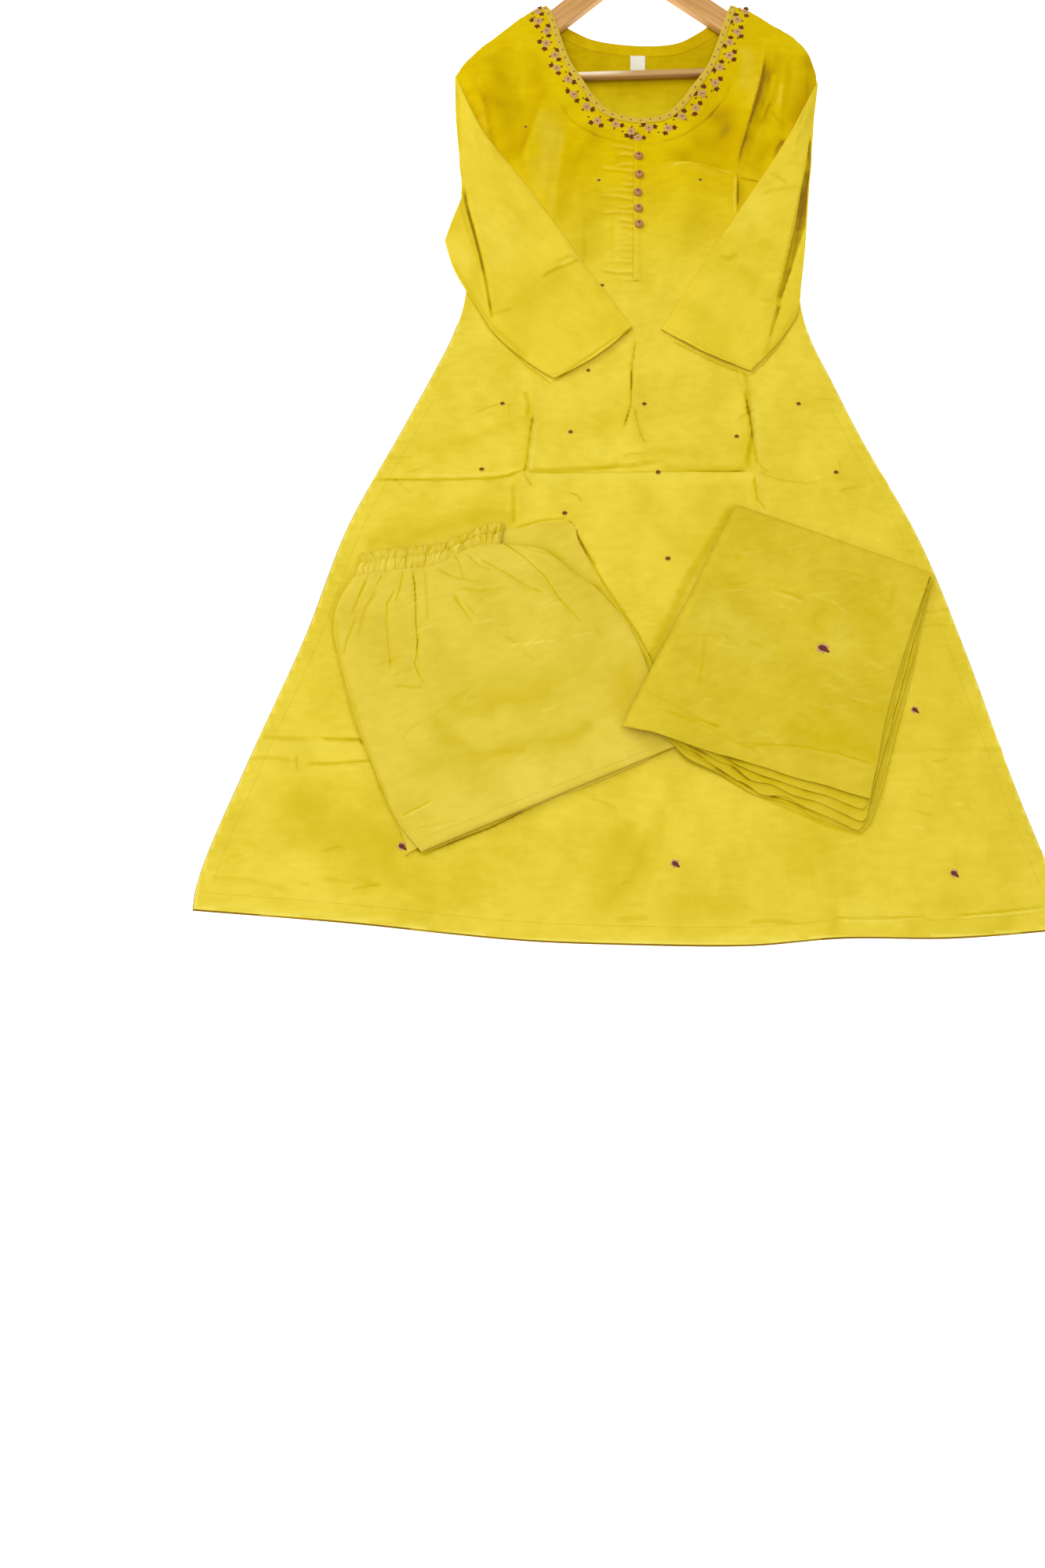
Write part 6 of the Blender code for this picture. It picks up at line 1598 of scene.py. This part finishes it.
def addPad(bm, spot, surface, long, wide, high, angle, material, sides, pointed=0.0, lift=0.0):
    # one padded stitch shape: a low dome, drawn to a point at one end for a leaf
    made = bmesh.ops.create_cone(bm, cap_ends=True, segments=sides, radius1=1.0, radius2=0.62, depth=1.0)
    z = topAt(surface, spot[0], spot[1], 12.0) + lift
    turn = Matrix.Rotation(angle, 4, "Z")
    for vertex in made["verts"]:
        x, y = vertex.co.xy
        narrow = 1.0 - pointed * max(x, 0.0)
        local = turn @ Vector((x * long / 2, y * wide / 2 * narrow, (vertex.co.z + 0.32) * high))
        vertex.co = (spot[0] + local.x, spot[1] + local.y, z + local.z)
    for face in {f for v in made["verts"] for f in v.link_faces}:
        face.material_index = material


def stepFrom(spot, distance, way):
    return spot[0] + distance * math.cos(way), spot[1] + distance * math.sin(way)


def addSprigLeaves(bm, root, surface, size, way):
    # three fat leaves from one root
    for turn in (-0.8, 0.0, 0.8):
        a = way + turn
        place = stepFrom(root, size * (0.2 if turn else 0.28), a)
        addPad(bm, place, surface, size * 0.56, size * 0.35, 0.6, a, 1, 8, 0.75)


def addFlower(bm, spot, surface, size, angle, leafWays):
    # five petals round a rosy eye, with leaves in threes beside it
    for k in range(5):
        a = angle + 2 * math.pi * k / 5
        addPad(bm, stepFrom(spot, size * 0.26, a), surface, size * 0.56, size * 0.48, 0.6, a, 0, 8)
    addPad(bm, spot, surface, size * 0.26, size * 0.26, 0.5, angle, 3, 8, lift=0.4)
    for way in leafWays:
        addSprigLeaves(bm, stepFrom(spot, size * 0.54, way), surface, size, way)


def makeEmbroidery(braidSurface, placketSurface):
    # small flowers in a row outside the braid, and a row of dots on the braid itself
    path = samplePath(neckFront, 3.0)
    total = sum((b - a).length for a, b in zip(path, path[1:]))
    bm = bmesh.new()
    count = int(total / neck["sprigPitch"])
    for k in range(count + 1):
        # the flowers step in and out in turn, with leaves on both sides
        distance = 5 + k * (total - 10) / count
        step = 1.0 if k % 2 else -1.0
        wobble = 0.25 * math.sin(k * 2.4)
        spot, heading = neckSpot(path, distance, neck["sprigOffset"] + neck["sprigStep"] * step + wobble)
        leafWays = (heading - step * (0.3 + wobble), heading + math.pi + step * (0.8 + wobble))
        addFlower(bm, spot, frontSurface, neck["flower"] + 1.2 * wobble, heading + k, leafWays)
        tick = heading + step * math.pi / 2
        addPad(bm, stepFrom(spot, neck["tickAway"], tick), frontSurface, 4.2, 3.0, 0.45, tick, 2, 8)
        spot, heading = neckSpot(path, distance + 0.5 * neck["sprigPitch"], neck["sprigOffset"] - 5.0 * step)
        addPad(bm, spot, frontSurface, 3.8, 2.8, 0.45, heading, 2, 8)
    dots = int(total / neck["dotPitch"])
    for k in range(dots):
        spot, heading = neckSpot(path, (k + 0.5) * total / dots, 3.8 + 0.8 * math.sin(k * 1.9))
        addPad(bm, spot, braidSurface, 4.0, 3.2, 0.35, heading + 0.6, 0, 10, lift=-0.1)
        addPad(bm, spot, braidSurface, 2.8, 2.2, 0.4, heading + 0.6, 3, 8, lift=0.12)
    addFlower(bm, neck["placketFlower"], placketSurface, 10.6, 0.4, (0.1, math.pi - 0.2))
    addPiece("neckEmbroidery", bm, [finishes[key] for key in ("petal", "leaf", "olive", "eye")])


butis = {
    # x, y, size
    "scattered": ((-134, 325, 5.6), (-46, 256, 6), (75, 260, 6), (-40, 114, 6.5), (-55, 2, 7),
                  (-152, -43, 8), (-74, -77, 8), (9, -40, 8), (114, -78, 8), (185, -35, 8),
                  (-173, -127, 8.5), (25, -126, 8.5), (225, -121, 8.5), (-79, -178, 9), (36, -230, 9),
                  (301, -400, 10), (-243, -564, 11), (43, -576, 11), (334, -579, 11)),
    "largeFrom": 9.5,
    "dupattaFlower": (202, -337),
}


def highestOf(surfaces, x, y):
    # the surface that lies uppermost here
    best, highest = surfaces[0], -9.0
    for surface in surfaces:
        hit = hitFrom(surface, x, y, 200)
        if hit and hit.z > highest:
            best, highest = surface, hit.z
    return best


def addButi(bm, index, x, y, size, surface):
    # a small flower in gold and walnut, or a larger one in blush and madder with a pointed leaf beside it
    large = size > butis["largeFrom"]
    pale, dark, turn = (0, 1, -0.4) if large else (3, 2, 0.0)
    for k in range(5):
        a = index * 1.3 + 2 * math.pi * k / 5
        addPad(bm, stepFrom((x, y), size * 0.24, a), surface, size * 0.5, size * 0.42, 0.4, a, pale, 8)
    addPad(bm, (x, y), surface, size * 0.7, size * 0.56, 0.45, turn, dark, 12, lift=0.25)
    if large:
        place = (x + size * 0.3, y - size * 0.24)
        addPad(bm, place, surface, size * 0.42, size * 0.3, 0.5, -0.7, dark, 8, 0.7, lift=0.25)


def makeButis():
    # small flowers scattered over the kurta, and one flower on the dupatta
    bm = bmesh.new()
    for i, (x, y, size) in enumerate(butis["scattered"]):
        addButi(bm, i, x, y, size, highestOf((leftSurface, rightSurface, frontSurface), x, y))
    x, y = butis["dupattaFlower"]
    for k in range(6):
        a = 0.4 + 2 * math.pi * k / 6
        addPad(bm, (x + 4.4 * math.cos(a), y + 3.4 * math.sin(a)), dupattaSurface, 7, 5.4, 0.4, a, 0, 8)
    addPad(bm, (x, y), dupattaSurface, 11.5, 7.6, 0.5, -0.4, 1, 14, lift=0.25)
    addPad(bm, (x + 4.5, y - 3), dupattaSurface, 6, 3.6, 0.35, -0.6, 1, 8, 0.7, lift=0.3)
    addPiece("scatteredButis", bm, [finishes[key] for key in ("petal", "buti", "seed", "braid")])


label = {"width": 18.0, "length": 21.0, "middleY": 426.2, "height": 2.15, "wall": 0.6}


def makeLabel():
    bm = newGrid(12, 14)
    for vertex in bm.verts:
        x, y = vertex.co.x * label["width"], vertex.co.y * label["length"]
        z = label["height"] + 0.25 * math.cos(y * 0.2) + 0.1 * math.sin(x * 0.5)
        vertex.co = (x, y + label["middleY"], z)
    faceUp(bm)
    piece = addPiece("sizeLabel", bm, finishes["tape"], ("size_label",), wall=label["wall"])


makeLabel()
print("label sewn")


placket = {
    "x": 1.5,
    "width": 11.0,
    "low": 121.0,
    "high": 316.0,
    "wall": 0.9,
    "buttons": (291.0, 265.0, 240.0, 218.0, 196.0),
}


def makePlacket():
    bm = newGrid(10, 120)
    for vertex in bm.verts:
        u, v = vertex.co.x + 0.5, vertex.co.y + 0.5
        y = mix(placket["low"], placket["high"], v)
        x = placket["x"] + (u - 0.5) * (placket["width"] + 0.6 * math.sin(y * 0.11))
        pucker = 0.28 * math.sin(y * 0.31 + 1.4 * math.sin(y * 0.07)) * (0.4 + abs(u - 0.5))
        crown = 1.1 * roundOver(u * placket["width"] + 0.1, 2.0) * (1.0 - ease((u - 0.3) / 0.7)) - 0.5 * u**3
        vertex.co = (x, y, topAt(frontSurface, x, y) + 0.25 + crown + pucker * (1.0 - u))
    faceUp(bm)
    smoothHeights(bm, 2)
    surface = BVHTree.FromBMesh(bm)
    piece = addPiece("placketStrip", bm, finishes["front"], ("placket",),
                     wall=placket["wall"])
    return surface


button = {"radius": 5.3, "ribs": 8, "ribDepth": 0.045, "rise": 3.6, "knot": 1.75}


def makeButton(index, y, surface):
    # a ball of wound thread: ribs run from its rim to a darker knot on top
    bm = bmesh.new()
    bmesh.ops.create_uvsphere(bm, u_segments=48, v_segments=20, radius=1.0)
    seat = topAt(surface, placket["x"], y) + 0.2
    middleX = placket["x"] + 0.8 * math.sin(index * 2.1)
    for vertex in bm.verts:
        around = math.atan2(vertex.co.y, vertex.co.x)
        flat = math.hypot(vertex.co.x, vertex.co.y)
        rib = button["ribDepth"] * abs(math.sin(button["ribs"] * around)) * flat
        out = button["radius"] * (1.0 - button["ribDepth"] + rib)
        z = seat + 1.3 + max(vertex.co.z, -0.35) * button["rise"]
        vertex.co = (middleX + vertex.co.x * out, y + vertex.co.y * out, z)
    for face in bm.faces:
        middle = face.calc_center_median()
        reach = math.hypot(middle.x - middleX, middle.y - y)
        face.material_index = 1 if reach < button["knot"] and middle.z > seat + 3 else 0
    addPiece(f"button{index + 1}", bm, [finishes["button"], finishes["knot"]],
             (f"button_{index + 1}",))


placketSurface = makePlacket()
braidSurface = makeBand("neckBraid", samplePath(neckFront, 2.5), neck["braidWidth"], neck["braidThick"],
                        frontSurface, 0.25, finishes["braid"], ("neck_piping",), start=-0.6,
                        steps=8)
facingPath = [p for p in samplePath(neckBack, 3.0) if abs(p.x) < 99]
makeBand("neckFacing", facingPath, neck["facingWidth"], neck["facingThick"], backSurface, 0.15,
         finishes["facing"], ("neck_facing_back",), start=0.6, steps=6)
makeEmbroidery(braidSurface, placketSurface)
makeButis()
print("neck trimmed")
for buttonIndex, buttonY in enumerate(placket["buttons"]):
    makeButton(buttonIndex, buttonY, placketSurface)
print("placket buttoned")


stitching = {
    "pitch": 3.4,
    "length": 2.4,
    "width": 0.5,
    "height": 0.35,
    "yoke": ((-59, 333), (-16, 318), (20, 310), (62, 328), (80, 358), (126, 444)),
    "placket": ((-4.4, 314), (-4.6, 220), (-4.4, 124)),
    "facing": ((-92, 464), (-79, 453), (-59, 442), (-30, 437), (1, 436), (29, 438), (48, 443), (74, 456),
               (90, 470)),
}


def addStitches(bm, path, surface, pitch=stitching["pitch"]):
    # a row of small raised stitches along a path
    points = samplePath(path, pitch)
    size = (stitching["length"] / 2, stitching["width"] / 2, stitching["height"] / 2, 1.0)
    for a, b in zip(points, points[1:]):
        middle = (a + b) / 2
        made = bmesh.ops.create_icosphere(bm, subdivisions=1, radius=1.0)
        place = Matrix.Translation((middle.x, middle.y, topAt(surface, middle.x, middle.y, 8.0) + 0.05))
        turn = Matrix.Rotation(math.atan2(b.y - a.y, b.x - a.x), 4, "Z")
        bmesh.ops.transform(bm, matrix=place @ turn @ Matrix.Diagonal(size), verts=made["verts"])


def makeStitching():
    bm = bmesh.new()
    addStitches(bm, [(x, smoothRead(hemLine, 1, x) + 18) for x in range(-445, 446, 30)], frontSurface)
    for column, inward in ((1, 16), (2, -16)):
        side = [(smoothRead(bodySides, column, y) + inward, y) for y in range(-610, -20, 30)]
        addStitches(bm, side, frontSurface)
    addStitches(bm, stitching["yoke"], frontSurface, 3.0)
    addStitches(bm, stitching["placket"], placketSurface, 2.8)
    addStitches(bm, stitching["facing"], backSurface, 2.8)
    for surface, table in ((leftSurface, sleeveLeft), (rightSurface, sleeveRight)):
        row = [sleevePlace(table, r, 0.955)[0] for r in (0.04, 0.25, 0.5, 0.75, 0.96)]
        addStitches(bm, [(p.x, p.y) for p in row], surface, 3.0)
    addPiece("stitchRows", bm, finishes["stitch"])
    bm = bmesh.new()
    row = [trouserPlace(share, 0.955)[0] for share in (0.05, 0.3, 0.55, 0.8, 0.97)]
    addStitches(bm, [(p.x, p.y) for p in row], trouserSurface, 3.0)
    addPiece("trouserStitchRow", bm, finishes["stitch"])


makeStitching()
print("stitching sewn")


for nodeName, finishName in (("hanger_arms", "wood"), ("hanger_bar", "bar"), ("hanger_hook", "steel")):
    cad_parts[nodeName].data.materials.clear()
    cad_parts[nodeName].data.materials.append(finishes[finishName])
print("hanger finished")


studio = {
    "world": 0.475,
    "aim": (0.0, -0.25, 0.0),
    # name, place, power, size
    "lamps": (("key", (-0.3, -1.0, 3.6), 63.6, 3.0), ("fill", (-2.3, 2.0, 3.3), 57.0, 3.0)),
    "floorTone": (0.93, 0.93, 0.93, 1.0),
    "floorGlow": 0.8,
    "floorDrop": 0.0005,
    "cameraPlace": (-0.1071, -0.951, 1.60),
    "cameraRoll": math.radians(1.4),
    "cameraTilt": math.radians(16.0),
    "lens": 36.0,
}


def makeFloor():
    bm = bmesh.new()
    bmesh.ops.create_grid(bm, x_segments=1, y_segments=1, size=6.0)
    mesh = bpy.data.meshes.new("floor")
    bm.to_mesh(mesh)
    bm.free()
    mesh.transform(Matrix.Translation((0, 0, -studio["floorDrop"])))
    floor = bpy.data.objects.new("floor", mesh)
    bpy.context.scene.collection.objects.link(floor)
    made, tree, shader = startMaterial("paleFloor", 0.9, 0.1)[:3]
    feed(tree, shader, Base_Color=studio["floorTone"], Emission_Color=(1, 1, 1, 1),
         Emission_Strength=studio["floorGlow"])
    mesh.materials.append(made)


def makeLights():
    world = bpy.data.worlds.new("studio")
    world.use_nodes = True
    feed(world.node_tree, world.node_tree.nodes["Background"], Color=(1, 1, 1, 1), Strength=studio["world"])
    bpy.context.scene.world = world
    for name, place, energy, size in studio["lamps"]:
        data = bpy.data.lights.new(name, "AREA")
        data.shape = "DISK"
        data.size = size
        data.energy = energy
        lamp = bpy.data.objects.new(name, data)
        way = Vector(studio["aim"]) - Vector(place)
        lamp.matrix_world = Matrix.Translation(place) @ way.to_track_quat("-Z", "Y").to_matrix().to_4x4()
        bpy.context.scene.collection.objects.link(lamp)


def makeCamera():
    data = bpy.data.cameras.new("camera")
    data.sensor_fit = "VERTICAL"
    data.sensor_height = 36.0
    data.lens = studio["lens"]
    camera = bpy.data.objects.new("camera", data)
    roll = Matrix.Rotation(studio["cameraRoll"], 4, "Z")
    tilt = Matrix.Rotation(studio["cameraTilt"], 4, "X")
    camera.matrix_world = Matrix.Translation(studio["cameraPlace"]) @ roll @ tilt
    bpy.context.scene.collection.objects.link(camera)
    bpy.context.scene.camera = camera


bpy.context.scene.view_settings.view_transform = "Standard"
makeFloor()
makeLights()
makeCamera()
print("studio lit")
